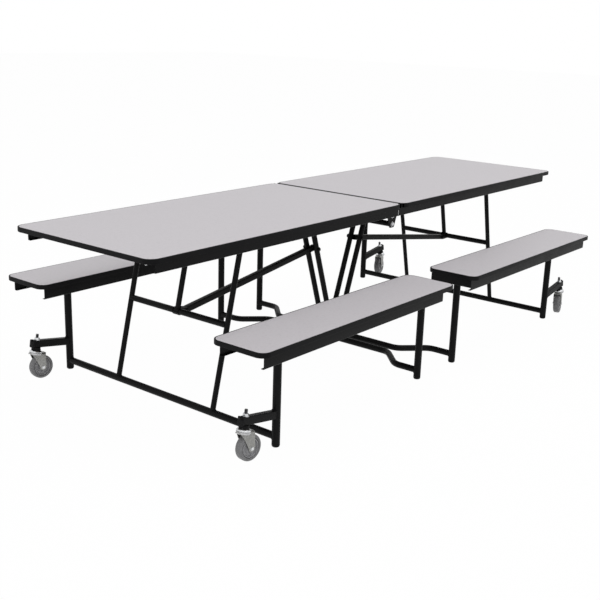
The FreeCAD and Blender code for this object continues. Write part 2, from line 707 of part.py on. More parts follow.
def bent_bar(radius):
    """Solid round bar of the given radius along the bent crossbar's route."""
    corners = bend_bar_route()
    path = bent_path(corners, BEND_RADIUS)
    circle = Part.Circle(corners[0], corners[1] - corners[0], radius).toShape()
    return path.makePipeShell([Part.Wire([circle])], True, False)


def bent_crossbar():
    """Low crossbar of the inner frame, bent towards the seam between the two posts."""
    bar = bent_bar(CROSSBAR_DIAMETER / 2).cut(bent_bar(CROSSBAR_DIAMETER / 2 - TUBE_WALL))
    posts = [post_axis(INNER_POST_X, y, BENCH_PIVOT_Z) for y in (-BENCH_Y, BENCH_Y)]
    return coped(bar, *posts)


def inner_leg(y):
    """Inner leg, saddled to the bent crossbar and drilled for its pivot and strut bolts."""
    axis = inner_leg_axis(y)
    middle = (
        Vector(BEND_BAR_X, -BEND_BAR_FLAT, CROSSBAR_Z), Vector(BEND_BAR_X, BEND_BAR_FLAT, CROSSBAR_Z),
        CROSSBAR_DIAMETER,
    )
    leg = coped(tube(*axis), middle)
    hole_y = grown((y, y), INNER_LEG_DIAMETER)
    return drilled(drilled(leg, INNER_PIVOT, hole_y), STRUT_HEAD, hole_y)


def inner_legs():
    """Pair of inner legs, the spacer at their pivot and the two stub bolts at the strut's head."""
    inside = INNER_LEG_Y - INNER_LEG_DIAMETER / 2
    outside = INNER_LEG_Y + INNER_LEG_DIAMETER / 2
    spacer_axis = (across(INNER_PIVOT, -inside), across(INNER_PIVOT, inside))
    spacer = rod(*spacer_axis, 2 * BOLT_RADIUS).cut(rod(*spacer_axis, BOLT_RADIUS + BOLT_FIT))
    stub = bolt(STRUT_HEAD, (-outside, -inside), heads=(True, False))
    return [inner_leg(-INNER_LEG_Y), inner_leg(INNER_LEG_Y), spacer] + both_rows(stub)


def inner_post(y):
    """Upright post at the inner end of the bench."""
    top_z = BENCH_UNDERSIDE - SEAT_CLEARANCE - POST_RADIUS
    return tube(*post_axis(INNER_POST_X, y, top_z))


# ---- strut ----
def strut():
    """Square tube from the saddle bracket up to the inner legs, drilled at both ends."""
    axis = STRUT_HEAD - STRUT_FOOT
    length = axis.Length + 2 * STRUT_END
    half = STRUT_SIZE / 2
    outer = box((0, length), (-half, half), (-half, half))
    long_edges = [edge for edge in outer.Edges if edge.Length > STRUT_SIZE * 2]
    outer = outer.makeFillet(STRUT_CORNER, long_edges)
    hollow_half = half - TUBE_WALL
    hollow = box((0, length), (-hollow_half, hollow_half), (-hollow_half, hollow_half))
    bar = outer.cut(hollow)
    start = STRUT_FOOT - axis.normalize() * STRUT_END
    bar.Placement = Placement(start, Rotation(Vector(1, 0, 0), axis))
    through = (-STRUT_SIZE, STRUT_SIZE)
    return drilled(drilled(bar, STRUT_FOOT, through), STRUT_HEAD, through)


# ---- centre link ----
def link_plate():
    """Hinge plate, wide at the hinge pin and narrow at the cross tube."""
    y_range = (-LINK_PLATE_Y - LINK_PLATE, -LINK_PLATE_Y)
    top = HINGE_PIN_Z + LINK_TOP_RISE
    bottom = HINGE_PIN_Z - LINK_BOTTOM_DROP
    shoulder = HINGE_PIN_Z - LINK_SHOULDER_DROP
    outline = [
        (-LINK_BOTTOM_HALF, bottom), (-LINK_TOP_HALF, shoulder), (-LINK_TOP_HALF, top),
        (LINK_TOP_HALF, top), (LINK_TOP_HALF, shoulder), (LINK_BOTTOM_HALF, bottom),
    ]
    body = plate(outline, y_range)
    corners = [edge for edge in body.Edges if abs(edge.tangentAt(edge.FirstParameter).y) > 0.9]
    body = body.makeFillet(LINK_CORNER, corners)
    return drilled(drilled(body, HINGE_PIN, y_range), LINK_TUBE_CENTRE, y_range)


def link_tube():
    """Cross tube between the two hinge plates, with a bored plug in each end."""
    ends_at = [across(LINK_TUBE_CENTRE, y) for y in (-LINK_PLATE_Y, LINK_PLATE_Y)]
    body = tube(*ends_at, LINK_TUBE_DIAMETER)
    for sign in (-1, 1):
        ends = sorted((sign * LINK_PLATE_Y, sign * (LINK_PLATE_Y - PIVOT_PLUG)))
        body = body.fuse(cross_rod(LINK_TUBE_CENTRE, ends, LINK_TUBE_DIAMETER / 2))
        body = drilled(body, LINK_TUBE_CENTRE, ends)
    return body.removeSplitter()


def link_bolts():
    """Two hinge pins through the ears of both halves and the two bolts that hold the cross tube."""
    outside = -LINK_PLATE_Y - LINK_PLATE
    ears = len(SIDES)
    ear_back = -LINK_PLATE_Y + ears * BRACKET_PLATE + (ears + 1) * SIDE_CLEARANCE
    pin = bolt(HINGE_PIN, (outside, ear_back))
    tube_bolt = bolt(LINK_TUBE_CENTRE, (outside, -LINK_PLATE_Y + PIVOT_PLUG), heads=(True, False))
    return both_rows(pin) + both_rows(tube_bolt)


# ---- bench ----
def bench_board():
    """Laminated seat board of the front bench and its black moulding."""
    half = BENCH_WIDTH / 2
    y_range = (-BENCH_Y - half, -BENCH_Y + half)
    return banded_board((BENCH_INNER_X, BENCH_OUTER_X), y_range, BENCH_HEIGHT, BENCH_CORNER_RADIUS)


def bench_aprons(side):
    """Two C aprons under the seat; the right benches also have a channel across their inner end."""
    face = BENCH_WIDTH / 2 - APRON_INSET
    inner_x = BENCH_INNER_X + APRON_INNER_MARGIN[side]
    x_range = (inner_x, BENCH_OUTER_X - APRON_OUTER_MARGIN)
    aprons = [
        channel(x_range, -BENCH_Y - face, BENCH_UNDERSIDE, APRON_DEPTH, RAIL_FLANGE, 1),
        channel(x_range, -BENCH_Y + face, BENCH_UNDERSIDE, APRON_DEPTH, RAIL_FLANGE, -1),
    ]
    if side == "left":
        return aprons
    y_range = (-BENCH_Y - face, -BENCH_Y + face)
    bottom = BENCH_UNDERSIDE - END_CHANNEL_DEPTH
    web = box((inner_x - SHEET, inner_x), y_range, (bottom, BENCH_UNDERSIDE))
    lip_y = grown(y_range, -RAIL_FLANGE - SIDE_CLEARANCE)
    lip = box((inner_x, inner_x + RAIL_FLANGE - SHEET), lip_y, (bottom, bottom + SHEET))
    return aprons + [web.fuse(lip).removeSplitter()]


def bench_bracket():
    """Strap across the aprons with two ears that straddle the head of the outer post."""
    face = BENCH_WIDTH / 2 - APRON_INSET
    y_range = grown((-BENCH_Y - face, -BENCH_Y + face), -RAIL_FLANGE - SIDE_CLEARANCE)
    x_range = (POST_X - BENCH_BRACKET_HALF, POST_X + BENCH_BRACKET_HALF)
    strap = box(x_range, y_range, (BENCH_UNDERSIDE - BRACKET_PLATE, BENCH_UNDERSIDE))
    pivot = Vector(POST_X, 0, BENCH_PIVOT_Z)
    ears = []
    for sign in (-1, 1):
        near = POST_RADIUS + SIDE_CLEARANCE
        ear_y = sorted((-BENCH_Y + sign * near, -BENCH_Y + sign * (near + BRACKET_PLATE)))
        outline = [
            (POST_X - BENCH_BRACKET_HALF, BENCH_UNDERSIDE), (POST_X - BENCH_EAR_RADIUS, BENCH_PIVOT_Z),
            (POST_X + BENCH_EAR_RADIUS, BENCH_PIVOT_Z), (POST_X + BENCH_BRACKET_HALF, BENCH_UNDERSIDE),
        ]
        ear = plate(outline, ear_y).fuse(cross_rod(pivot, ear_y, BENCH_EAR_RADIUS))
        ears.append(drilled(ear, pivot, ear_y))
    return strap.fuse(ears).removeSplitter()


def bench_bolt():
    """Bolt through the bracket's ears and the outer post."""
    reach = POST_RADIUS + SIDE_CLEARANCE + BRACKET_PLATE
    return bolt(Vector(POST_X, 0, BENCH_PIVOT_Z), grown((-BENCH_Y, -BENCH_Y), reach))


# ---- nodes ----
def save(name, solids):
    """Write one node's solids to its STEP file."""
    Part.makeCompound(list(solids)).exportStep(os.path.join("parts", name + ".step"))


def on_side(side, shapes):
    """Shapes of one half: as drawn on the right, mirrored on the left."""
    if side == "right":
        return shapes
    return [shape.mirror(Vector(0, 0, 0), Vector(1, 0, 0)) for shape in shapes]


def on_row(row, shapes):
    """Shapes of one bench row: as drawn in front, mirrored at the rear."""
    if row == "front":
        return shapes
    return [mirrored_y(shape) for shape in shapes]


def half_nodes(side):
    """Nodes of one half, apart from its benches and casters."""
    ends = (-BENCH_Y, BENCH_Y)
    core, band = top_board()
    stems = [part for y in ends for part in caster_stem(y)]
    inner_ends = [end for y in ends for end in (glide(INNER_POST_X, y), rest_cap(INNER_POST_X, y))]
    return {
        "top_board": [core],
        "top_edge_band": [band],
        "top_rails": side_rails(),
        "top_brackets": top_brackets(side),
        "top_pivot_bolts": top_bolts(),
        "outer_crossbar": [outer_crossbar()],
        "outer_posts": [outer_post(y) for y in ends],
        "outer_legs": outer_legs(),
        "outer_leg_bars": [pivot_tube(), mid_bar()],
        "strut_saddle": [saddle_bracket(), saddle_bolt()],
        "caster_arms": [caster_arm(y) for y in ends],
        "caster_stems": stems,
        "outer_plastic_ends": [glide(POST_X, y) for y in ends] + [arm_cap(y) for y in ends],
        "inner_legs": inner_legs(),
        "inner_bent_crossbar": [bent_crossbar()],
        "inner_posts": [inner_post(y) for y in ends],
        "inner_plastic_ends": inner_ends,
        "strut": [strut()],
    }


def bench_nodes(side):
    """Nodes of one front bench."""
    core, band = bench_board()
    return {
        "seat_board": [core],
        "seat_edge_band": [band],
        "seat_frame": bench_aprons(side) + [bench_bracket(), bench_bolt()],
    }


def save_half(side):
    """Write every node of one half of the table."""
    for name, shapes in half_nodes(side).items():
        save(side + "_" + name, on_side(side, shapes))
    for row in ROWS:
        for name, shapes in bench_nodes(side).items():
            save("_".join((side, row, name)), on_side(side, on_row(row, shapes)))
        y = -BENCH_Y if row == "front" else BENCH_Y
        heading = CASTER_HEADINGS[(side, row)]
        save("_".join((side, row, "caster_fork")), on_side(side, [caster_fork(y, heading)]))
        save("_".join((side, row, "caster_wheel")), on_side(side, caster_wheel(y, heading)))


def main():
    """Build the whole table."""
    os.makedirs("parts", exist_ok=True)
    for side in SIDES:
        save_half(side)
    save("link_plates", both_rows(link_plate()))
    save("link_cross_tube", [link_tube()])
    save("link_bolts", link_bolts())


main()
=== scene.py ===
import logging
import math
from dataclasses import dataclass, field
from enum import Enum

import bmesh
import bpy
from mathutils import Matrix, Vector


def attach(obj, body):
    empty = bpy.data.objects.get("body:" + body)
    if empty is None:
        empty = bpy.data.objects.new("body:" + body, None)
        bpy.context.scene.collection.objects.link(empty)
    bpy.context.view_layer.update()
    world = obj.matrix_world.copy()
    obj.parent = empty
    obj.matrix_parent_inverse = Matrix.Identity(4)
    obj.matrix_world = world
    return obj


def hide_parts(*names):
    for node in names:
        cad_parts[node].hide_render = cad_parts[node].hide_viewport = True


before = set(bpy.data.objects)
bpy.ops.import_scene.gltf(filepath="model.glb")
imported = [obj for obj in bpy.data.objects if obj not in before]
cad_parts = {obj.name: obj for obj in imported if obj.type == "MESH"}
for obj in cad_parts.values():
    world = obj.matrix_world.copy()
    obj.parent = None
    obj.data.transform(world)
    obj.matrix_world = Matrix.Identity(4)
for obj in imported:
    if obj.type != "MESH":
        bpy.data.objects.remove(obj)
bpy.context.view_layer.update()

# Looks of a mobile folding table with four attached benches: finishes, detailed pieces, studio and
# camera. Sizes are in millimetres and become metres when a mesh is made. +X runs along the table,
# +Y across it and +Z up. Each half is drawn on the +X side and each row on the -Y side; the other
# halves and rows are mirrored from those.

logging.basicConfig(level=logging.INFO, format="%(name)s: %(message)s")
LOG = logging.getLogger("table")

Span = tuple[float, float]
Colour = tuple[float, float, float]
Loop = list[tuple[float, float]]
Face = tuple[int, ...]
Socket = bpy.types.NodeSocket
# Waves per metre, octaves and strength of the finer octaves; with only the first, cells per metre.
Wave = tuple[float, ...]
# Texture, strength and depth in metres.
Bump = tuple[Wave, float, float]

MM = 0.001
X_AXIS = Vector((1, 0, 0))
Y_AXIS = Vector((0, 1, 0))
Z_AXIS = Vector((0, 0, 1))

# Stock that several sub-assemblies share.
POST_RADIUS = 15.875
TUBE_WALL = 1.65
PIVOT_TUBE_WALL = 7.6
SHANK = 9.9
SHANK_WALL = 2.0

# Share by which a weld bead's radius ripples, and the ripple's turn from point to point.
RIPPLE = 0.16
RIPPLE_TURN = 1.9

# Range that most values of a noise lie in.
NOISE_SPAN = (0.3, 0.7)


class Half(Enum):
    """The two halves of the folding table."""

    LEFT = "left"
    RIGHT = "right"

    @property
    def sign(self) -> int:
        """Side of the seam that the half lies on."""
        return -1 if self is Half.LEFT else 1


class Row(Enum):
    """The two bench rows."""

    FRONT = "front"
    REAR = "rear"

    @property
    def sign(self) -> int:
        """Factor that carries the front row's drawing to this row."""
        return 1 if self is Row.FRONT else -1


class Slot(Enum):
    """Material slots of the record."""

    LAMINATE = "laminate"
    MOULDING = "edge_moulding"
    STEEL = "black_steel"
    ZINC = "zinc"
    PLASTIC = "black_plastic"
    WHEEL = "grey_wheel"


# ---- finishes ----
def combine(tree: bpy.types.NodeTree, operation: str, *terms: Socket | float) -> Socket:
    """Add a math node.

    Args:
        tree: Node tree to add to.
        operation: What the node works out.
        terms: Its inputs, as sockets or numbers.

    Returns:
        The value that it gives.
    """
    node = tree.nodes.new("ShaderNodeMath")
    node.operation = operation
    for target, term in zip(node.inputs, terms):
        if isinstance(term, Socket):
            tree.links.new(term, target)
        else:
            target.default_value = term
    return node.outputs["Value"]


class Shader:
    """Adds and wires the nodes of one material."""

    def __init__(self, name: str) -> None:
        """Start a material with a principled shader.

        Args:
            name: Name of the material.
        """
        self.material = bpy.data.materials.new(name)
        self.material.use_nodes = True
        self.tree = self.material.node_tree
        self.surface = self.tree.nodes["Principled BSDF"]
        self.place = self.tree.nodes.new("ShaderNodeTexCoord").outputs["Object"]

    def link(self, source: Socket, target: Socket) -> None:
        """Join an output to an input."""
        self.tree.links.new(source, target)

    def noise(self, scale: float, detail: float, roughness: float = 0.55) -> Socket:
        """Noise over the piece's own coordinates.

        Args:
            scale: Waves per metre.
            detail: Octaves.
            roughness: Strength of the finer octaves.

        Returns:
            The noise value, from 0 to 1.
        """
        node = self.tree.nodes.new("ShaderNodeTexNoise")
        node.inputs["Scale"].default_value = scale
        node.inputs["Detail"].default_value = detail
        node.inputs["Roughness"].default_value = roughness
        self.link(self.place, node.inputs["Vector"])
        return node.outputs["Fac"]

    def cells(self, scale: float) -> Socket:
        """Distance to the nearest of scattered cell centres.

        Args:
            scale: Cells per metre.

        Returns:
            The distance value.
        """
        node = self.tree.nodes.new("ShaderNodeTexVoronoi")
        node.inputs["Scale"].default_value = scale
        self.link(self.place, node.inputs["Vector"])
        return node.outputs["Distance"]

    def texture(self, wave: Wave) -> Socket:
        """Noise of a wave, or cells where the wave has only a scale."""
        return self.cells(*wave) if len(wave) == 1 else self.noise(*wave)

    def remap(self, value: Socket, span: Span, result: Span) -> Socket:
        """Stretch a value from one span to another.

        Args:
            value: Value to stretch.
            span: Lowest and highest input.
            result: Outputs for those two.

        Returns:
            The stretched value.
        """
        node = self.tree.nodes.new("ShaderNodeMapRange")
        node.inputs["From Min"].default_value, node.inputs["From Max"].default_value = span
        node.inputs["To Min"].default_value, node.inputs["To Max"].default_value = result
        self.link(value, node.inputs["Value"])
        return node.outputs["Result"]

    def tint(self, value: Socket, span: Span, colours: tuple[Colour, Colour]) -> None:
        """Colour the surface by a ramp over a value.

        Args:
            value: Value from 0 to 1.
            span: Values at which the ramp starts and ends.
            colours: Colours at those two.
        """
        node = self.tree.nodes.new("ShaderNodeValToRGB")
        for element, place, colour in zip(node.color_ramp.elements, span, colours):
            element.position = place
            element.color = (*colour, 1.0)
        self.link(value, node.inputs["Fac"])
        self.link(node.outputs["Color"], self.surface.inputs["Base Color"])

    def rough(self, value: Socket, result: Span) -> None:
        """Drive the roughness by a noise."""
        self.link(self.remap(value, NOISE_SPAN, result), self.surface.inputs["Roughness"])

    def relief(self, *bumps: Bump) -> None:
        """Stack bumps on the surface.

        Args:
            bumps: The bumps, the broadest first.
        """
        target = self.surface.inputs["Normal"]
        for wave, strength, depth in reversed(bumps):
            node = self.tree.nodes.new("ShaderNodeBump")
            node.inputs["Strength"].default_value = strength
            node.inputs["Distance"].default_value = depth
            self.link(self.texture(wave), node.inputs["Height"])
            self.link(node.outputs["Normal"], target)
            target = node.inputs["Normal"]

    def shine(self, level: float) -> None:
        """Set how strongly the bare surface mirrors its surroundings."""
        self.surface.inputs["Specular IOR Level"].default_value = level


@dataclass(frozen=True)
class LaminateFinish:
    """Pale grey decorative laminate with a fine clouded print and a matt, pebbled face."""

    pale: Colour = (0.60, 0.575, 0.60)
    deep: Colour = (0.53, 0.505, 0.53)
    deep_span: Span = (0.05, 0.5)
    cloud: Wave = (85.0, 5.0, 0.68)
    cloud_share: float = 0.65
    speck: Wave = (620.0, 2.0)
    speck_share: float = 0.35
    speck_span: Span = (0.35, 0.65)
    roughness: Span = (0.38, 0.46)
    shine: float = 0.14

    def make(self) -> bpy.types.Material:
        """Build the material.

        Returns:
            The material.
        """
        shader = Shader("pale grey laminate")
        cloud = shader.texture(self.cloud)
        specks = shader.remap(shader.texture(self.speck), self.speck_span, (0.0, 1.0))
        clouds = shader.remap(cloud, NOISE_SPAN, (0.0, self.cloud_share))
        shade = combine(shader.tree, "MULTIPLY_ADD", specks, self.speck_share, clouds)
        shader.tint(shade, self.deep_span, (self.deep, self.pale))
        shader.rough(cloud, self.roughness)
        shader.relief((self.speck, 0.06, 0.0002))
        shader.shine(self.shine)
        return shader.material


@dataclass(frozen=True)
class DriftingFinish:
    """Finish whose colour and roughness drift with one noise, with bumps of its own."""

    name: str
    dark: Colour
    light: Colour
    roughness: Span
    drift: Wave
    bumps: tuple[Bump, ...]
    span: Span = NOISE_SPAN
    metallic: float = 0.0
    shine: float = 0.5

    def make(self) -> bpy.types.Material:
        """Build the material.

        Returns:
            The material.
        """
        shader = Shader(self.name)
        drift = shader.texture(self.drift)
        shader.tint(drift, self.span, (self.dark, self.light))
        shader.rough(drift, self.roughness)
        shader.relief(*self.bumps)
        shader.surface.inputs["Metallic"].default_value = self.metallic
        shader.shine(self.shine)
        return shader.material


@dataclass(frozen=True)
class BackerFinish(DriftingFinish):
    """Brown balancing sheet on the underside of a board."""

    name: str = "brown backer sheet"
    dark: Colour = (0.085, 0.06, 0.045)
    light: Colour = (0.12, 0.088, 0.065)
    roughness: Span = (0.55, 0.7)
    drift: Wave = (140.0, 6.0, 0.7)
    bumps: tuple[Bump, ...] = (((140.0, 6.0, 0.7), 0.1, 0.0003),)


@dataclass(frozen=True)
class MouldingFinish(DriftingFinish):
    """Black vinyl edge moulding with a satin face."""

    name: str = "black vinyl moulding"
    dark: Colour = (0.005, 0.005, 0.0055)
    light: Colour = (0.009, 0.009, 0.0095)
    roughness: Span = (0.40, 0.52)
    drift: Wave = (9.0, 3.0)
    bumps: tuple[Bump, ...] = (((900.0, 2.0), 0.12, 0.00025),)
    shine: float = 0.07


@dataclass(frozen=True)
class PowderCoatFinish(DriftingFinish):
    """Black powder coat with a fine orange peel."""

    name: str = "black powder coat"
    dark: Colour = (0.0045, 0.0045, 0.0048)
    light: Colour = (0.0085, 0.0085, 0.0088)
    roughness: Span = (0.34, 0.46)
    drift: Wave = (14.0, 4.0, 0.65)
    bumps: tuple[Bump, ...] = (((420.0, 2.0), 0.22, 0.0003), ((1900.0, 1.0), 0.10, 0.0001))
    shine: float = 0.08


@dataclass(frozen=True)
class PlasticFinish(DriftingFinish):
    """Moulded black plastic with a spark-eroded grain."""

    name: str = "moulded black plastic"
    dark: Colour = (0.006, 0.006, 0.0065)
    light: Colour = (0.012, 0.012, 0.0125)
    roughness: Span = (0.42, 0.55)
    drift: Wave = (60.0, 3.0)
    bumps: tuple[Bump, ...] = (((1500.0,), 0.15, 0.0002),)
    shine: float = 0.08


@dataclass(frozen=True)
class ZincFinish(DriftingFinish):
    """Zinc plate with soft clouding, bright or dull."""

    drift: Wave = (160.0, 4.0, 0.6)
    bumps: tuple[Bump, ...] = (((2600.0, 1.0), 0.06, 0.0001),)
    metallic: float = 1.0


@dataclass(frozen=True)
class WheelFinish(DriftingFinish):
    """Grey rubber or hub plastic, lightly scuffed."""

    drift: Wave = (75.0, 6.0, 0.7)
    bumps: tuple[Bump, ...] = (((75.0, 6.0, 0.7), 0.08, 0.0003), ((1400.0, 1.0), 0.12, 0.0001))
    span: Span = (0.32, 0.62)


class Tone(Enum):
    """Finishes that a draft's faces may take."""

    LAMINATE = LaminateFinish()
    BACKER = BackerFinish()
    MOULDING = MouldingFinish()
    STEEL = PowderCoatFinish()
    ZINC = ZincFinish(
        "bright zinc plate", (0.55, 0.56, 0.57), (0.78, 0.79, 0.80), (0.30, 0.20))
    CUP = ZincFinish(
        "polished bearing cup", (0.36, 0.36, 0.365), (0.62, 0.62, 0.63), (0.30, 0.18))
    PRESSING = ZincFinish(
        "dull zinc pressing", (0.27, 0.27, 0.258), (0.36, 0.36, 0.347), (0.52, 0.42))
    THREAD = ZincFinish(
        "oiled thread", (0.07, 0.07, 0.072), (0.26, 0.26, 0.265), (0.42, 0.30))
    PLASTIC = PlasticFinish()
    TYRE = WheelFinish(
        "grey wheel tread", (0.15, 0.15, 0.155), (0.22, 0.22, 0.225), (0.36, 0.5))
    HUB = WheelFinish(
        "grey wheel hub", (0.25, 0.25, 0.26), (0.34, 0.34, 0.35), (0.30, 0.42))


# ---- drafting ----
class Draft:
    """Vertices and faces of one piece, in millimetres, each face with its tone."""

    def __init__(self, tone: Tone) -> None:
        """Start an empty draft.

        Args:
            tone: Tone of the faces added next.
        """
        self.tone = tone
        self.points: list[Vector] = []
        self.faces: list[Face] = []
        self.tones: list[Tone] = []

    def add(self, points: list[Vector], faces: list[Face]) -> None:
        """Add a shell in the present tone.

        Args:
            points: Its vertices.
            faces: Its faces, by index into points.
        """
        base = len(self.points)
        self.points.extend(points)
        self.faces.extend(tuple(base + index for index in face) for face in faces)
        self.tones.extend([self.tone] * len(faces))

    def carry(self, matrix: Matrix) -> None:
        """Move everything drawn so far by a motion in millimetres."""
        self.points = [matrix @ point for point in self.points]

    def copy_across(self) -> None:
        """Add a copy of everything drawn so far, mirrored to the table's other side."""
        shift = len(self.points)
        self.points += [Vector((x, -y, z)) for x, y, z in self.points]
        self.faces += [tuple(shift + index for index in reversed(face)) for face in self.faces]
        self.tones += self.tones


def spot(x: float, y: float, z: float) -> Vector:
    """Dataclass field that holds a point."""
    return field(default_factory=lambda: Vector((x, y, z)))


def circle(radius: float, sides: int = 40) -> Loop:
    """Points of a closed round section, counter-clockwise."""
    turns = [2 * math.pi * index / sides for index in range(sides)]
    return [(radius * math.cos(turn), radius * math.sin(turn)) for turn in turns]


def arc(centre: Vector, radius: float, start: float, turn: float, steps: int) -> Loop:
    """Points of an arc in XZ, from the angle start over the angle turn, in radians."""
    angles = [start + turn * step / steps for step in range(steps + 1)]
    return [(centre.x + radius * math.cos(a), centre.z + radius * math.sin(a)) for a in angles]


def dome(radius: float, base: float = 0.0, steps: int = 8) -> Loop:
    """Profile of a dome, from above its rim to its pole.

    Args:
        radius: Radius of the rim and height of the pole.
        base: Height of the rim.
        steps: Segments of a full quarter circle.

    Returns:
        Radius and height of each point.
    """
    angles = [math.pi / 2 * step / steps for step in range(1, steps)]
    rise = radius - base
    return [(radius * math.cos(a), base + rise * math.sin(a)) for a in angles] + [(0, radius)]


def softened(corners: Loop, radii: float | list[float], steps: int = 5) -> Loop:
    """Closed outline with its corners rounded.

    Args:
        corners: Corner points in order.
        radii: One radius for all corners or one for each; 0 keeps a corner sharp.
        steps: Segments of each arc.

    Returns:
        The outline's points.
    """
    count = len(corners)
    sizes = radii if isinstance(radii, list) else [radii] * count
    outline: Loop = []
    for index in range(count):
        before, here, after = (Vector(corners[(index + shift) % count]) for shift in (-1, 0, 1))
        outline.extend(corner_arc(before, here, after, sizes[index], steps))
    return outline


def corner_arc(before: Vector, here: Vector, after: Vector, radius: float, steps: int) -> Loop:
    """Points of a tangent arc in place of one corner.

    Args:
        before: Previous corner.
        here: The corner that is rounded.
        after: Next corner.
        radius: Radius of the arc.
        steps: Segments of the arc.

    Returns:
        The arc's points, or the corner itself where the radius is 0.
    """
    come = (here - before).normalized()
    leave = (after - here).normalized()
    turn = come.angle(leave)
    if radius <= 0 or turn < 1e-4:
        return [tuple(here)]
    start = here - come * radius * math.tan(turn / 2)
    centre = here + (leave - come).normalized() * radius / math.cos(turn / 2)
    arm = start - centre
    way = 1 if come.cross(leave) > 0 else -1
    turns = [Matrix.Rotation(way * turn * step / steps, 2) for step in range(steps + 1)]
    return [tuple(centre + spin @ arm) for spin in turns]


def rectangle(x_range: Span, y_range: Span) -> Loop:
    """Corners of an upright rectangle, counter-clockwise."""
    (left, right), (low, high) = x_range, y_range
    return [(left, low), (right, low), (right, high), (left, high)]


def box_section(width: float, depth: float, radius: float) -> Loop:
    """Section of a rectangular tube with rounded corners."""
    return softened(rectangle((-width / 2, width / 2), (-depth / 2, depth / 2)), radius, 6)


def normal_at(line: Loop, index: int) -> Vector:
    """Unit normal on the left of an open line at one of its points."""
    ahead = Vector(line[min(index + 1, len(line) - 1)]) - Vector(line[max(index - 1, 0)])
    return Vector((-ahead.y, ahead.x)).normalized()


def filled(line: Loop, closed: bool = False, step: float = 3.0) -> Loop:
    """Line with extra points on its long runs.

    Args:
        line: The line.
        closed: Whether it ends where it starts.
        step: Longest distance between points.

    Returns:
        The denser line.
    """
    dense: Loop = []
    for here, after in zip(line, line[1:] + line[:1] if closed else line[1:]):
        start, end = Vector(here), Vector(after)
        count = max(1, round((end - start).length / step))
        dense.extend(tuple(start.lerp(end, part / count)) for part in range(count))
    return dense if closed else dense + [line[-1]]


def folded_sheet(centreline: Loop, sheet: float, bend: float) -> Loop:
    """Closed section of a folded sheet-metal strip.

    Args:
        centreline: Points that the middle of the sheet runs through.
        sheet: Sheet thickness.
        bend: Bend radius at the middle of the sheet.

    Returns:
        The section's outline.
    """
    middle: Loop = [centreline[0]]
    for before, here, after in zip(centreline, centreline[1:], centreline[2:]):
        middle.extend(corner_arc(Vector(before), Vector(here), Vector(after), bend, 5))
    middle.append(centreline[-1])
    shifts = [normal_at(middle, index) * sheet / 2 for index in range(len(middle))]
    left = [tuple(Vector(point) + shift) for point, shift in zip(middle, shifts)]
    right = [tuple(Vector(point) - shift) for point, shift in zip(middle, shifts)]
    return right + left[::-1]


def bent_route(corners: list[Vector], radius: float, steps: int = 14) -> list[Vector]:
    """Level route through corners with a tangent arc at each bend.

    Args:
        corners: Corner points at one height.
        radius: Bend radius.
        steps: Segments of each arc.

    Returns:
        The points of the route.
    """
    flat = [corner.xy for corner in corners]
    height = corners[0].z
    route = [corners[0]]
    for before, here, after in zip(flat, flat[1:], flat[2:]):
        bend = corner_arc(before, here, after, radius, steps)
        route.extend(Vector((x, y, height)) for x, y in bend)
    route.append(corners[-1])
    return route


def band(low: int, high: int, size: int) -> list[Face]:
    """Faces between two rings of size vertices that start at the indices low and high."""
    steps = [(j, (j + 1) % size) for j in range(size)]
    return [(low + j, low + k, high + k, high + j) for j, k in steps]


def loft(draft: Draft, rings: list[list[Vector]]) -> None:
    """Solid through rings of points, flat at both ends.

    Args:
        draft: Draft to add to.
        rings: The rings in order, all with as many points.
    """
    size = len(rings[0])
    last = (len(rings) - 1) * size
    faces: list[Face] = [tuple(range(size)), tuple(range(last, last + size))]
    for base in range(0, last, size):
        faces += band(base, base + size, size)
    draft.add([point for ring in rings for point in ring], faces)


def sweep(draft: Draft, route: list[Vector], loops: list[Loop], up: Vector,
          closed: bool = False, swell: list[float] | None = None) -> None:
    """Carry a section along a route, as a solid bar or, with a second loop, as a tube.

    Args:
        draft: Draft to add to.
        route: Points of the route.
        loops: The outer section and, for a tube, the inner one with as many points.
        up: Direction that the section's second axis leans to.
        closed: Whether the route ends where it starts.
        swell: Factor on the section at each point of the route.
    """
    count, size = len(route), len(loops[0])
    points: list[Vector] = []
    for index, here in enumerate(route):
        if closed:
            ahead = route[(index + 1) % count] - route[index - 1]
        else:
            ahead = route[min(index + 1, count - 1)] - route[max(index - 1, 0)]
        ahead.normalize()
        side = up.cross(ahead).normalized()
        rise = ahead.cross(side)
        factor = swell[index] if swell else 1.0
        for loop in loops:
            points.extend(here + (side * u + rise * v) * factor for u, v in loop)
    stride = size * len(loops)
    faces: list[Face] = []
    for near in range(0, len(points) if closed else len(points) - stride, stride):
        far = (near + stride) % len(points)
        for base in range(0, stride, size):
            faces += band(near + base, far + base, size)
    if not closed:
        for base in (0, len(points) - stride):
            plug = [tuple(range(base, base + size))]
            faces += plug if len(loops) == 1 else band(base, base + size, size)
    draft.add(points, faces)


def tube(draft: Draft, start: Vector, end: Vector, diameter: float,
         wall: float = TUBE_WALL) -> None:
    """Straight round tube, open at both ends.

    Args:
        draft: Draft to add to.
        start: One end of its axis.
        end: The other end.
        diameter: Outside diameter.
        wall: Wall thickness.
    """
    along = (end - start).normalized()
    up = X_AXIS if abs(along.x) < 0.5 else Y_AXIS
    sweep(draft, [start, end], [circle(diameter / 2), circle(diameter / 2 - wall)], up)


def axes_of(axis: Vector) -> tuple[Vector, Vector]:
    """Two directions square to an axis and to each other.

    Args:
        axis: Unit vector along the axis.

    Returns:
        The two unit vectors.
    """
    guide = X_AXIS if abs(axis.x) < 0.7 else Y_AXIS
    first = (guide - axis * guide.dot(axis)).normalized()
    return first, axis.cross(first)


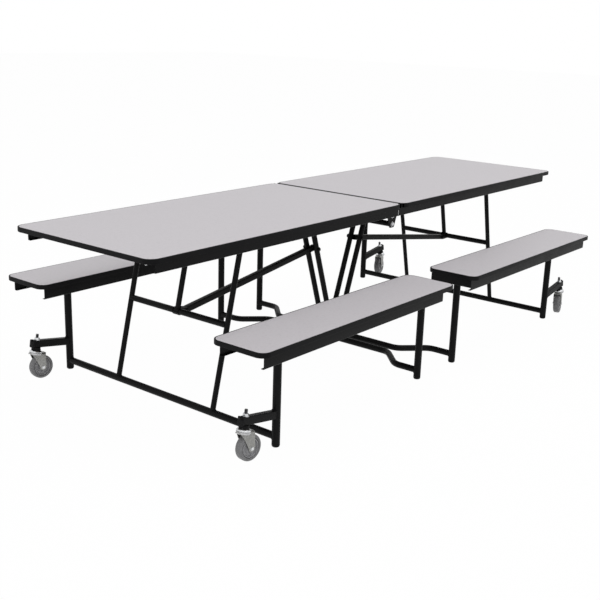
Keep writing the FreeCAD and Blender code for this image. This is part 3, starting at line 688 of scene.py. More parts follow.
def ring_points(centre: Vector, axis: Vector, radius: float, count: int = 72) -> list[Vector]:
    """Points of a circle round an axis that runs through its centre."""
    first, second = axes_of(axis.normalized())
    return [centre + first * u + second * v for u, v in circle(radius, count)]


def turned(draft: Draft, profile: Loop, origin: Vector, axis: Vector, sides: int = 48,
           closed: bool = False) -> None:
    """Turned shape, such as a glide or a wheel.

    Args:
        draft: Draft to add to.
        profile: Radius and height of each point of the section.
        origin: Point of height 0 on the axis.
        axis: Direction of the axis.
        sides: Segments round the axis.
        closed: Whether the section closes on itself, as a ring's does.
    """
    axis = axis.normalized()
    points: list[Vector] = []
    rings: list[list[int]] = []
    for radius, height in profile:
        centre = origin + axis * height
        pole = radius < 1e-6
        rings.append([len(points) + (0 if pole else j) for j in range(sides)])
        points.extend([centre] if pole else ring_points(centre, axis, radius, sides))
    faces: list[Face] = []
    for low, high in zip(rings, rings[1:] + rings[:1] if closed else rings[1:]):
        for j in range(sides):
            k = (j + 1) % sides
            face = tuple(dict.fromkeys((low[j], low[k], high[k], high[j])))
            if len(face) > 2:
                faces.append(face)
    draft.add(points, faces)


def slab(draft: Draft, outline: Loop, low: float, high: float, normal: Vector) -> None:
    """Flat plate from an outline.

    Args:
        draft: Draft to add to.
        outline: Outline in XY for a level plate, or in XZ for one that stands along X.
        low: Lower limit along the normal.
        high: Upper limit along the normal.
        normal: Z_AXIS or Y_AXIS.
    """
    if normal is Z_AXIS:
        loft(draft, [[Vector((x, y, level)) for x, y in outline] for level in (low, high)])
    else:
        loft(draft, [[Vector((x, level, z)) for x, z in outline] for level in (low, high)])


def weld(draft: Draft, section: list[Vector], along: Vector, bar: Vector, bar_axis: Vector,
         bar_radius: float, bead: float = 2.2) -> None:
    """Rippled weld bead where a branch meets a round bar.

    Args:
        draft: Draft to add to.
        section: Points round the branch, in order.
        along: Direction in which the branch leaves the bar.
        bar: Point on the bar's axis.
        bar_axis: Direction of the bar's axis.
        bar_radius: Radius of the bar.
        bead: Radius of the bead.
    """
    along = along.normalized()
    axis = bar_axis.normalized()
    step = along - axis * along.dot(axis)
    route = []
    for point in section:
        offset = point - bar
        offset = offset - axis * offset.dot(axis)
        a, b, c = step.dot(step), 2 * offset.dot(step), offset.dot(offset) - bar_radius ** 2
        root = b * b - 4 * a * c
        if root > 0:
            route.append(point + along * (-b + math.sqrt(root)) / (2 * a))
    swell = [1.0 + RIPPLE * math.sin(index * RIPPLE_TURN) for index in range(len(route))]
    whole = len(route) == len(section)
    sweep(draft, route, [circle(bead, 10)], along, closed=whole, swell=swell)


def weld_tube(draft: Draft, start: Vector, end: Vector, radius: float, bar_radius: float) -> None:
    """Bead round a tube that leaves the axis of a bar along Y at start, towards end."""
    along = end - start
    weld(draft, ring_points(start, along, radius), along, start, Y_AXIS, bar_radius)


def weld_to_posts(draft: Draft, x: float, y: float, z: float, radius: float) -> None:
    """Beads where a bar along Y ends at the posts at y and -y.

    Args:
        draft: Draft to add to.
        x: Place of the posts along the table.
        y: Place of the front post across it.
        z: Height of the bar.
        radius: Radius of the bar.
    """
    for sign in (1, -1):
        post = Vector((x, sign * y, z))
        weld(draft, ring_points(post, Y_AXIS, radius), Y_AXIS * sign, post, Z_AXIS, POST_RADIUS)


# ---- fasteners ----
@dataclass
class HexHead:
    """Hexagonal bolt head or nut with chamfered corners, on a washer."""

    radius: float = 9.0
    height: float = 6.0
    washer: float = 11.0
    washer_sheet: float = 1.2
    per_flat: int = 8

    def draw(self, draft: Draft, seat: Vector, axis: Vector) -> None:
        """Draw the head standing on its seat.

        Args:
            draft: Draft to add to.
            seat: Centre of the seat.
            axis: Direction in which the head rises.
        """
        first, second = axes_of(axis)
        inside = self.radius * math.cos(math.pi / 6)
        rim = self.washer_sheet
        rings: list[list[Vector]] = [[], [], []]
        for index in range(6 * self.per_flat):
            turn = math.pi / 3 * index / self.per_flat
            spoke = first * math.cos(turn) + second * math.sin(turn)
            reach = inside / math.cos((turn + math.pi / 6) % (math.pi / 3) - math.pi / 6)
            chamfer = (reach - inside * 0.97) * 0.6
            levels = ((reach, rim), (reach, self.height - chamfer), (inside * 0.92, self.height))
            for ring, (out, height) in zip(rings, levels):
                ring.append(seat + spoke * out + axis * height)
        loft(draft, rings)
        turned(draft, [(0, 0), (self.washer, 0), (self.washer, rim), (0, rim)], seat, axis, 40)


@dataclass
class PanScrew:
    """Pan head screw with a cross recess hinted by a shallow dish."""

    radius: float = 4.2
    height: float = 2.2

    def draw(self, draft: Draft, seat: Vector, axis: Vector) -> None:
        """Draw the head on its seat.

        Args:
            draft: Draft to add to.
            seat: Centre of the seat.
            axis: Direction in which the head rises.
        """
        r, h = self.radius, self.height
        profile = [(0, 0), (r, 0), (r, h * 0.45), (r * 0.86, h * 0.82), (r * 0.6, h), (r * 0.34, h),
                   (r * 0.2, h * 0.55), (0, h * 0.45)]
        turned(draft, profile, seat, axis, 24)


def cross_bolt(draft: Draft, head: HexHead, centre: Vector, reach: float,
               size: float = SHANK) -> None:
    """Bolt along Y with a head at each end.

    Args:
        draft: Draft to add to.
        head: Its head and nut.
        centre: Middle of the bolt.
        reach: Distance from there to the seat of each head.
        size: Diameter of the shank.
    """
    for way in (-Y_AXIS, Y_AXIS):
        head.draw(draft, centre + way * reach, way)
    tube(draft, centre - Y_AXIS * reach, centre + Y_AXIS * reach, size, SHANK_WALL)


def thread(draft: Draft, start: Vector, end: Vector, radius: float, pitch: float = 1.5) -> None:
    """Threaded end of a bolt, with a chamfered tip at end.

    Args:
        draft: Draft to add to.
        start: Where the thread starts.
        end: Its tip.
        radius: Outer radius.
        pitch: Distance between crests.
    """
    length = (end - start).length
    profile: Loop = [(0, 0), (radius, 0)]
    place = pitch
    while place < length - pitch:
        profile.extend([(radius * 0.86, place - pitch / 2), (radius, place)])
        place += pitch
    profile.extend([(radius * 0.84, length - pitch * 0.4), (radius * 0.7, length), (0, length)])
    turned(draft, profile, start, end - start, 32)


# ---- pieces ----
@dataclass
class Workshop:
    """Turns drafts into pieces that ride on the frame's bodies."""

    bevel_angle: float = 38.0
    sharp_angle: float = 32.0
    materials: dict[Tone, bpy.types.Material] = field(default_factory=dict)
    count: int = 0

    def material(self, tone: Tone) -> bpy.types.Material:
        """Material of a tone, made at its first use.

        Args:
            tone: The tone.

        Returns:
            The material.
        """
        if tone not in self.materials:
            self.materials[tone] = tone.value.make()
        return self.materials[tone]

    def piece(self, name: str, draft: Draft, body: str, slot: Slot, nodes: tuple[str, ...],
              factors: Vector, edge: float) -> None:
        """Make a piece from a draft.

        Args:
            name: Name of the piece.
            draft: What it is made of.
            body: Body that it rides on.
            slot: Material slot of the record; not used.
            nodes: Solids that it stands for.
            factors: Mirror factors on the draft's coordinates.
            edge: Width of the softened edges, 0 for none.
        """
        mesh = bpy.data.meshes.new(name)
        scale = factors * MM
        points = [tuple(a * b for a, b in zip(point, scale)) for point in draft.points]
        mesh.from_pydata(points, [], draft.faces)
        tones = list(dict.fromkeys(draft.tones))
        for tone in tones:
            mesh.materials.append(self.material(tone))
        mesh.polygons.foreach_set("material_index", [tones.index(tone) for tone in draft.tones])
        self.clean(mesh)
        piece = bpy.data.objects.new(name, mesh)
        bpy.context.scene.collection.objects.link(piece)
        if edge:
            bevel = piece.modifiers.new("soft edges", "BEVEL")
            bevel.width = edge * MM
            bevel.segments = 2
            bevel.limit_method = "ANGLE"
            bevel.angle_limit = math.radians(self.bevel_angle)
            bevel.harden_normals = True
        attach(piece, body)
        if nodes:
            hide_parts(*nodes)
        self.count += 1
        LOG.info("%s rides on %s", name, body)

    def clean(self, mesh: bpy.types.Mesh) -> None:
        """Turn all faces of a mesh outwards and mark its sharp edges.

        Args:
            mesh: Mesh to clean.
        """
        work = bmesh.new()
        work.from_mesh(mesh)
        bmesh.ops.recalc_face_normals(work, faces=work.faces)
        work.to_mesh(mesh)
        work.free()
        mesh.shade_smooth()
        mesh.set_sharp_from_angle(angle=math.radians(self.sharp_angle))


@dataclass
class SubAssembly:
    """Common ground of the table's sub-assemblies."""

    shop: Workshop

    @staticmethod
    def factors(half: Half, row: Row = Row.FRONT) -> Vector:
        """Mirror factors of a half and row."""
        return Vector((half.sign, row.sign, 1))

    def hand_in(self, prefix: str, body: str, factors: Vector,
                *pieces: tuple[str, Draft, Slot, str, float]) -> None:
        """Make the pieces that ride on one body.

        Args:
            prefix: Start of the name of the body and of each piece and solid.
            body: Rest of the body's name.
            factors: Mirror factors on the drafts' coordinates.
            pieces: Name, draft, slot, solid that it stands for or "", and edge width of each.
        """
        for name, draft, slot, node, edge in pieces:
            nodes = (prefix + node,) if node else ()
            self.shop.piece(prefix + name, draft, prefix + body, slot, nodes, factors, edge)


@dataclass
class Board:
    """Laminated board with its black edge moulding, as a table top or a seat."""

    thickness: float = 19.0
    band: float = 6.0
    seam_lip: float = 12.0
    crown: float = 0.9
    edge_drop: float = 0.35
    steps: int = 14

    def draw(self, x_range: Span, y_range: Span, top: float, radius: float,
             seam: bool = False) -> tuple[Draft, Draft]:
        """Draw the board and its moulding.

        Args:
            x_range: Limits along the table.
            y_range: Limits across it.
            top: Height of the upper face.
            radius: Corner radius.
            seam: Whether a flat lip of the moulding runs along the inner end.

        Returns:
            The draft of the board and the draft of the moulding.
        """
        low, middle = top - self.thickness, top - self.thickness / 2
        lip = x_range[0] + self.seam_lip
        inner = rectangle(
            *((start + self.band, end - self.band) for start, end in (x_range, y_range)))
        outline = softened(inner, radius - self.band, self.steps)
        if seam:
            outline = [(max(x, lip), y) for x, y in outline]
        board = Draft(Tone.LAMINATE)
        slab(board, outline, middle, top, Z_AXIS)
        board.tone = Tone.BACKER
        slab(board, outline, low, middle, Z_AXIS)
        moulding = Draft(Tone.MOULDING)
        edge = softened(rectangle(x_range, y_range), radius, self.steps)
        route = [Vector((x, y, middle)) for x, y in edge]
        sweep(moulding, route, [self.section()], Z_AXIS, closed=True)
        if seam:
            strip = [(min(x, lip), y) for x, y in softened(inner, radius, self.steps)]
            slab(moulding, strip, low + self.edge_drop, top - self.edge_drop, Z_AXIS)
        return board, moulding

    def section(self) -> Loop:
        """Section of the moulding: flat inside, crowned outside, just below the laminate.

        Returns:
            Distance beyond the board's limits and height of each point.
        """
        face = self.thickness / 2 - self.edge_drop
        outer = []
        for step in range(13):
            angle = math.pi * (step / 12 - 0.5)
            rise = math.copysign(abs(math.sin(angle)) ** 0.6, math.sin(angle)) * face
            outer.append((self.crown * (1 - math.cos(angle)) ** 1.6 + 0.02, rise))
        return [(self.band, face), *outer[::-1], (self.band, -face)]


@dataclass
class Channels:
    """Folded sheet-metal channels."""

    sheet: float = 2.0
    flange: float = 14.0
    bend: float = 2.6
    tray_bend: float = 2.0

    def rail(self, draft: Draft, x_range: Span, face: float, top: float, depth: float,
             towards: int) -> None:
        """C channel along X with its web at face.

        Args:
            draft: Draft to add to.
            x_range: Its two ends.
            face: Cross position of the web's outer face.
            top: Height of its upper flange.
            depth: Height of the web.
            towards: Side that it opens to, 1 or -1.
        """
        half, reach = self.sheet / 2, self.flange * towards
        web, low = half * towards, half - depth
        line = [(reach, -half), (web, -half), (web, low), (reach, low)]
        route = [Vector((x, face, top)) for x in x_range]
        sweep(draft, route, [folded_sheet(line, self.sheet, self.bend)], Z_AXIS)

    def tray(self, draft: Draft, centre: float, reach: float, top: float, width: float,
             depth: float) -> None:
        """Shallow U channel across the table, open upwards.

        Args:
            draft: Draft to add to.
            centre: Position along the table.
            reach: Half its length.
            top: Height of its upper edges.
            width: Width over its sides.
            depth: Height of its sides.
        """
        side, low = (width - self.sheet) / 2, self.sheet / 2 - depth
        line = [(-side, 0), (-side, low), (side, low), (side, 0)]
        route = [Vector((centre, y, top)) for y in (-reach, reach)]
        sweep(draft, route, [folded_sheet(line, self.sheet, self.tray_bend)], Z_AXIS)


@dataclass
class TableTop(SubAssembly):
    """Half of the table top with its rails, cross channels, brackets and pivot bolts."""

    x_range: Span = (1.5, 1524.0)
    half_width: float = 381.0
    height: float = 737.0
    corner: float = 45.0
    rail_x: Span = (2.0, 1475.0)
    rail_face: float = 356.0
    rail_depth: float = 40.0
    channel_places: Span = (600.0, 1420.0)
    channel_width: float = 40.0
    channel_depth: float = 15.0
    channel_screws: Span = (-290.0, -100.0)
    pivot: Vector = spot(960.0, 0.0, 697.0)
    ear_x: Span = (-67.0, 90.0)
    ear_drop: float = 23.0
    ear_chamfer: float = 14.0
    ear_round: float = 8.0
    ear_face: float = 341.5
    ear_screws: tuple[float, ...] = (-45.0, 0.0, 60.0)
    inner_pivot: Vector = spot(240.0, 0.0, 697.0)
    inner_half: float = 28.0
    inner_tip: float = 12.0
    inner_drop: float = 14.0
    inner_round: float = 9.0
    inner_face: float = 44.2
    inner_screws: Span = (-18.0, 18.0)
    inner_screw_y: float = 60.0
    hinge_pin: Vector = spot(0.0, 0.0, 675.0)
    hinge_x: Span = (6.0, 110.0)
    hinge_radius: float = 14.0
    hinge_arc: Span = (82.0, 233.0)
    hinge_fillet: float = 22.0
    hinge_screws: Span = (40.0, 90.0)
    hinge_faces: dict[Half, float] = field(
        default_factory=lambda: {Half.LEFT: 316.0, Half.RIGHT: 319.5})
    sheet: float = 3.0
    flange: float = 30.0
    plate_round: float = 4.0
    shank: float = 22.0
    screw_pitch: float = 210.0
    screw_start: float = 40.0
    screw_inset: float = 8.5
    plate_screw_inset: float = 20.0

    @property
    def underside(self) -> float:
        """Height of the board's lower face."""
        return self.height - Board.thickness

    def build(self, half: Half) -> None:
        """Build all pieces of one half's top.

        Args:
            half: Which half.
        """
        y_range = (-self.half_width, self.half_width)
        board, moulding = Board().draw(self.x_range, y_range, self.height, self.corner, True)
        self.hand_in(
            half.value + "_", "top", self.factors(half),
            ("table_laminate", board, Slot.LAMINATE, "top_board", 0.25),
            ("table_moulding", moulding, Slot.MOULDING, "top_edge_band", 0),
            ("table_rails", self.rails(), Slot.STEEL, "top_rails", 0.3),
            ("table_screws", self.screws(half), Slot.ZINC, "", 0),
            ("pivot_brackets", self.brackets(half), Slot.STEEL, "top_brackets", 0.4),
            ("pivot_bolts", self.bolts(), Slot.ZINC, "top_pivot_bolts", 0))

    def rails(self) -> Draft:
        """Draw the side rails and the cross channels.

        Returns:
            The draft.
        """
        draft = Draft(Tone.STEEL)
        channels = Channels()
        channels.rail(draft, self.rail_x, -self.rail_face, self.underside, self.rail_depth, 1)
        draft.copy_across()
        reach = self.rail_face - channels.flange
        for place in self.channel_places:
            channels.tray(
                draft, place, reach, self.underside, self.channel_width, self.channel_depth)
        return draft

    def screws(self, half: Half) -> Draft:
        """Draw the screws that hold the rails, channels and brackets to the board.

        Args:
            half: Half that they belong to.

        Returns:
            The draft.
        """
        start, end = self.rail_x
        count = int((end - start) // self.screw_pitch) + 1
        rail, plate = self.underside - Channels.sheet, self.underside - self.sheet
        tray = self.underside - self.channel_depth
        places = [(start + self.screw_start + index * self.screw_pitch,
                   self.screw_inset - self.rail_face, rail) for index in range(count)]
        places += [(x, y, tray) for x in self.channel_places for y in self.channel_screws]
        ear_y = self.plate_screw_inset - self.ear_face
        hinge_y = self.plate_screw_inset - self.hinge_faces[half]
        for shifts, x, y in ((self.ear_screws, self.pivot.x, ear_y),
                             (self.hinge_screws, self.hinge_pin.x, hinge_y),
                             (self.inner_screws, self.inner_pivot.x, -self.inner_screw_y)):
            places += [(x + shift, y, plate) for shift in shifts]
        draft = Draft(Tone.ZINC)
        for place in places:
            PanScrew().draw(draft, Vector(place), -Z_AXIS)
        draft.copy_across()
        return draft

    def brackets(self, half: Half) -> Draft:
        """Draw the main pivot, inner pivot and hinge brackets.

        Args:
            half: Half that they belong to.

        Returns:
            The draft.
        """
        draft = Draft(Tone.STEEL)
        self.main_bracket(draft)
        self.hinge_bracket(draft, self.hinge_faces[half])
        self.inner_ear(draft)
        draft.copy_across()
        x, reach = self.inner_pivot.x, self.inner_face + self.flange
        plate = rectangle((x - self.inner_half, x + self.inner_half), (-reach, reach))
        outline = softened(plate, self.plate_round)
        slab(draft, outline, self.underside - self.sheet, self.underside, Z_AXIS)
        return draft

    def angle(self, draft: Draft, outline: Loop, x_range: Span, face: float) -> None:
        """Bracket with an upright ear and a flange that is screwed under the board.

        Args:
            draft: Draft to add to.
            outline: Outline of the ear in XZ.
            x_range: Limits of the flange along the table.
            face: Distance of the ear's outer face from the table's middle.
        """
        slab(draft, outline, -face, self.sheet - face, Y_AXIS)
        flange = rectangle(x_range, (-face, self.flange - face))
        outline = softened(flange, [0, 0, self.plate_round, self.plate_round])
        slab(draft, outline, self.underside - self.sheet, self.underside, Z_AXIS)

    def main_bracket(self, draft: Draft) -> None:
        """Angle whose ear carries the pivot tube.

        Args:
            draft: Draft to add to.
        """
        start, end = (self.pivot.x + shift for shift in self.ear_x)
        top, low, cut = self.underside, self.pivot.z - self.ear_drop, self.ear_chamfer
        corners = [(start, top), (start, low + cut), (start + cut, low), (end - cut, low),
                   (end, low + cut), (end, top)]
        outline = softened(corners, [0, *[self.ear_round] * 4, 0])
        self.angle(draft, outline, (start, end), self.ear_face)

    def hinge_bracket(self, draft: Draft, face: float) -> None:
        """Angle whose ear reaches the centre hinge pin.

        Args:
            draft: Draft to add to.
            face: Distance of the ear's outer face from the table's middle.
        """
        pin, top, radius = self.hinge_pin, self.underside, self.hinge_radius
        start, end = self.hinge_x
        first, turn = (math.radians(angle) for angle in self.hinge_arc)
        outline: Loop = [(start, top), *arc(pin, radius, first, turn, 24)]
        slope = radius * math.sqrt(0.5)
        elbow = Vector((radius + slope, pin.z + radius - slope))
        tip = Vector((end, top - self.sheet))
        outline += corner_arc(Vector(outline[-1]), elbow, tip, self.hinge_fillet, 6)
        self.angle(draft, outline + [tuple(tip), (end, top)], self.hinge_x, face)

    def inner_ear(self, draft: Draft) -> None:
        """Ear that carries the inner legs.

        Args:
            draft: Draft to add to.
        """
        x, low = self.inner_pivot.x, self.inner_pivot.z - self.inner_drop
        top, half, tip = self.underside, self.inner_half, self.inner_tip
        corners = [(x - half, top), (x - tip, low), (x + tip, low), (x + half, top)]
        outline = softened(corners, [0, self.inner_round, self.inner_round, 0])
        slab(draft, outline, -self.inner_face, self.sheet - self.inner_face, Y_AXIS)

    def bolts(self) -> Draft:
        """Draw the pivot bolts of the top.

        Returns:
            The draft.
        """
        draft = Draft(Tone.ZINC)
        for centre, reach in ((self.pivot, self.ear_face), (self.inner_pivot, self.inner_face)):
            seat = centre - Y_AXIS * reach
            HexHead().draw(draft, seat, -Y_AXIS)
            tube(draft, seat, seat + Y_AXIS * self.shank, SHANK, SHANK_WALL)
        draft.copy_across()
        return draft


@dataclass
class Post:
    """Upright bench post and its plastic ends."""

    radius: float = POST_RADIUS
    glide: float = 12.0
    plug: float = 12.0

    def draw_tube(self, draft: Draft, foot: Vector, top: float) -> None:
        """Tube of the post, standing on its glide."""
        start, end = foot + Z_AXIS * self.glide, foot + Z_AXIS * top
        tube(draft, start, end, 2 * self.radius)

    def draw_glide(self, draft: Draft, foot: Vector) -> None:
        """Rounded glide with its stepped rim.

        Args:
            draft: Draft to add to.
            foot: Point of the floor under the post.
        """
        r, h = self.radius, self.glide
        profile = [(0, 0), (10.5, 0), (12.6, 0.5), (14.2, 1.9), (15.2, 3.9), (15.7, 6.2), (r, 8.4),
                   (r, h - 0.7), (r - 0.5, h - 0.1), (r - 0.6, h), (r - 2.0, h),
                   (r - 2.0, h + self.plug), (0, h + self.plug)]
        turned(draft, profile, foot, Z_AXIS)

    def draw_dome(self, draft: Draft, foot: Vector, top: float) -> None:
        """Domed cap.

        Args:
            draft: Draft to add to.
            foot: Point of the floor under the post.
            top: Height of the cap's crown.
        """
        r, rim = self.radius, 0.6
        profile = [(0, -self.plug), (r - 2.0, -self.plug), (r - 2.0, 0), (r - 0.7, 0), (r, rim)]
        turned(draft, profile + dome(r, rim), foot + Z_AXIS * (top - r), Z_AXIS)


@dataclass
class CasterArm:
    """Arm from an outer post to a caster, with x along the arm and z along the stem."""

    post: Vector = spot(1116.0, -600.0, 0.0)
    height: float = 129.0
    rise: float = 9.5
    width: float = 25.4
    depth: float = 31.75
    wall: float = 2.0
    corner: float = 3.0
    start: float = 6.0
    length: float = 195.0
    bead: float = 2.4
    knob: float = 8.0
    cap_over: float = 1.5
    cap_plate: float = 4.0
    stem_along: float = 174.0
    stem_radius: float = 6.35
    stem_top: float = 26.0
    stem_nut: HexHead = field(default_factory=lambda: HexHead(11.0, 11.0, 12.4, 1.6))
    thread_start: float = 9.0
    collar_radius: float = 20.0
    collar_height: float = 12.0
    race_radius: float = 27.0
    race_height: float = 10.0

    @property
    def place(self) -> Matrix:
        """Frame of the front arm."""
        origin = Matrix.Translation(self.post + Z_AXIS * self.height)
        return origin @ Matrix.Rotation(-math.radians(self.rise), 4, "Y")

    @property
    def collar(self) -> float:
        """Underside of the collar."""
        return -self.depth / 2 - self.collar_height

    @property
    def race(self) -> float:
        """Underside of the race."""
        return self.collar - self.race_height

    def tubes(self) -> Draft:
        """Draw both arms with their beads at the posts.

        Returns:
            The draft.
        """
        draft = Draft(Tone.STEEL)
        bore = 2 * self.wall
        outer = box_section(self.width, self.depth, self.corner)
        inner = box_section(self.width - bore, self.depth - bore, self.corner / 2)
        sweep(draft, [X_AXIS * self.start, X_AXIS * self.length], [outer, inner], Z_AXIS)
        draft.carry(self.place)
        edge = [self.place @ Vector((0, u, v)) for u, v in filled(outer, closed=True)]
        along = self.place.to_3x3() @ X_AXIS
        weld(draft, edge, along, self.post, Z_AXIS, POST_RADIUS, self.bead)
        draft.copy_across()
        return draft

    def stems(self) -> Draft:
        """Draw the threaded stems, their nuts, the races and the black collars.

        Returns:
            The draft.
        """
        draft = Draft(Tone.ZINC)
        centre = X_AXIS * self.stem_along
        top = centre + Z_AXIS * (self.depth / 2)
        r, low, high = self.race_radius, self.race, self.collar
        rim, under = self.collar_radius, -self.depth / 2
        self.stem_nut.draw(draft, top, Z_AXIS)
        race = [(0, low), (r - 3, low), (r - 0.8, low + 0.4), (r, low + 1.5), (r - 0.2, low + 3.2),
                (r - 1.1, low + 5.0), (r - 2.4, low + 6.6), (r - 4.0, low + 8.0),
                (r - 5.8, high - 0.8), (r - 7.4, high), (0, high)]
        nut = [(0, low - 6.6), (8.6, low - 6.6), (9.5, low - 5.6), (9.5, low - 3.7), (0, low - 3.7)]
        neck = [(0, low - 4), (5.9, low - 4), (5.9, low + 1), (0, low + 1)]
        flare = [(0, high + 0.05), (rim - 0.9, high + 0.05), (rim, high + 1.0), (rim, high + 4.2),
                 (rim - 1.2, high + 5.4), (rim - 1.4, under - 0.9), (rim - 2.2, under - 0.1),
                 (0, under - 0.1)]
        for profile, sides in ((race, 64), (nut, 40), (neck, 32)):
            turned(draft, profile, centre, Z_AXIS, sides)
        draft.tone = Tone.THREAD
        start, end = top + Z_AXIS * self.thread_start, top + Z_AXIS * self.stem_top
        thread(draft, start, end, self.stem_radius)
        draft.tone = Tone.PLASTIC
        turned(draft, flare, centre, Z_AXIS, 56)
        draft.carry(self.place)
        draft.copy_across()
        return draft

    def cap(self) -> Draft:
        """Draw the cushioned cap in the front arm's end with its bumper knob.

        Returns:
            The draft.
        """
        draft = Draft(Tone.PLASTIC)
        end, over = self.length, self.cap_over
        face = end + self.cap_plate
        stations = [(end - 10, -2.1), (end, -2.1), (end, over - 0.7), (end + 0.7, over),
                    (face - 1.4, over), (face - 0.5, over - 0.6), (face, over - 1.8)]
        rings = []
        for x, grow in stations:
            corner = max(1.2, self.corner + grow)
            section = box_section(self.width + 2 * grow, self.depth + 2 * grow, corner)
            rings.append([Vector((x, u, v)) for u, v in section])
        loft(draft, rings)
        knob = Vector((end + self.cap_plate / 2, 0, (self.depth - self.knob) / 2))
        turned(draft, [(0, 0), (self.knob, 0)] + dome(self.knob), knob, X_AXIS, 40)
        draft.carry(self.place)
        return draft


@dataclass
class OuterFrame(SubAssembly):
    """Outer leg frame: posts, crossbar, inclined legs, strut saddle and caster arms."""

    post: Vector = spot(1116.0, -600.0, 0.0)
    post_top: float = 412.0
    post_cope: float = 9.0
    bar_z: float = 40.0
    bar: float = 28.6
    leg: float = 22.2
    leg_y: float = 275.0
    pivot: Vector = spot(960.0, 0.0, 697.0)
    pivot_tube: float = 25.4
    pivot_reach: float = 338.0
    mid_z: float = 378.0
    mid: float = 25.4
    mid_cope: float = 4.0
    strut_foot: Vector = spot(995.0, 0.0, 374.0)
    strut: float = 25.4
    clearance: float = 0.5
    saddle_sheet: float = 3.0
    saddle_end: float = 12.0
    wrap_start: float = 1.24

    @property
    def foot(self) -> Vector:
        """Where the inclined legs' axes meet the crossbar's axis."""
        return Vector((self.post.x, 0, self.bar_z))

    @property
    def mid_centre(self) -> Vector:
        """Centre of the bar between the inclined legs."""
        share = (self.mid_z - self.bar_z) / (self.pivot.z - self.bar_z)
        return self.foot.lerp(self.pivot, share)

    def build(self, half: Half) -> None:
        """Build all pieces of one half's outer frame.

        Args:
            half: Which half.
        """
        arm = CasterArm()
        self.hand_in(
            half.value + "_", "outer_frame", self.factors(half),
            ("low_bar", self.low_bar(), Slot.STEEL, "outer_crossbar", 0.3),
            ("outer_bench_posts", self.posts(), Slot.STEEL, "outer_posts", 0.3),
            ("inclined_legs", self.legs(), Slot.STEEL, "outer_legs", 0),
            ("leg_cross_bars", self.bars(), Slot.STEEL, "outer_leg_bars", 0.3),
            ("saddle", self.saddle(), Slot.STEEL, "strut_saddle", 0.4),
            ("caster_arm_tubes", arm.tubes(), Slot.STEEL, "caster_arms", 0.3),
            ("caster_stem_sets", arm.stems(), Slot.ZINC, "caster_stems", 0),
            ("outer_glides_and_caps", self.plastic(arm), Slot.PLASTIC, "outer_plastic_ends", 0))

    def low_bar(self) -> Draft:
        """Draw the crossbar with its beads at the posts.

        Returns:
            The draft.
        """
        draft = Draft(Tone.STEEL)
        reach = Y_AXIS * (self.post.y + self.post_cope)
        tube(draft, self.foot + reach, self.foot - reach, self.bar)
        weld_to_posts(draft, self.post.x, self.post.y, self.bar_z, self.bar / 2)
        return draft

    def posts(self) -> Draft:
        """Draw the two outer bench posts.

        Returns:
            The draft.
        """
        draft = Draft(Tone.STEEL)
        Post().draw_tube(draft, self.post, self.post_top)
        draft.copy_across()
        return draft

    def legs(self) -> Draft:
        """Draw the inclined legs with their beads.

        Returns:
            The draft.
        """
        draft = Draft(Tone.STEEL)
        across = Y_AXIS * self.leg_y
        self.leg_from(draft, self.foot - across, self.pivot - across, self.bar)
        draft.copy_across()
        self.leg_from(draft, self.mid_centre, self.pivot, self.mid)
        return draft

    def leg_from(self, draft: Draft, foot: Vector, head: Vector, bar: float) -> None:
        """Leg from the axis of a bar to the axis of the pivot tube, with its two beads.

        Args:
            draft: Draft to add to.
            foot: Its lower end.
            head: Its upper end.
            bar: Diameter of the bar that it stands on.
        """
        tube(draft, foot, head, self.leg)
        weld_tube(draft, foot, head, self.leg / 2, bar / 2)
        weld_tube(draft, head, foot, self.leg / 2, self.pivot_tube / 2)

    def bars(self) -> Draft:
        """Draw the pivot tube and the mid bar.

        Returns:
            The draft.
        """
        draft = Draft(Tone.STEEL)
        reach, side = Y_AXIS * self.pivot_reach, Y_AXIS * (self.leg_y - self.mid_cope)
        tube(draft, self.pivot - reach, self.pivot + reach, self.pivot_tube, PIVOT_TUBE_WALL)
        tube(draft, self.mid_centre - side, self.mid_centre + side, self.mid)
        return draft

    def saddle(self) -> Draft:
        """Draw the bracket round the mid bar that holds the strut's foot, with its bolt.

        Returns:
            The draft.
        """
        draft = Draft(Tone.STEEL)
        middle, foot = self.mid_centre, self.strut_foot
        bore, rim = self.mid / 2, self.mid / 2 + self.saddle_sheet
        inner = self.strut / 2 + self.clearance
        outer = inner + self.saddle_sheet
        tilt = math.atan2(middle.z - foot.z, middle.x - foot.x)
        ear = arc(middle, rim, tilt - math.pi / 2, math.pi, 16)
        ear += arc(foot, self.saddle_end, tilt + math.pi / 2, math.pi, 16)
        slab(draft, ear, -outer, -inner, Y_AXIS)
        draft.copy_across()
        start, turn = math.pi * self.wrap_start, math.pi * (2 - self.wrap_start)
        wrap = arc(middle, rim, start, turn, 14) + arc(middle, bore, start, turn, 14)[::-1]
        slab(draft, wrap, -inner, inner, Y_AXIS)
        cross_bolt(draft, HexHead(), foot, outer)
        return draft

    def plastic(self, arm: CasterArm) -> Draft:
        """Draw the glides of the posts and the caps of the arms.

        Args:
            arm: The caster arm that the caps belong to.

        Returns:
            The draft.
        """
        draft = arm.cap()
        Post().draw_glide(draft, self.post)
        draft.copy_across()
        return draft


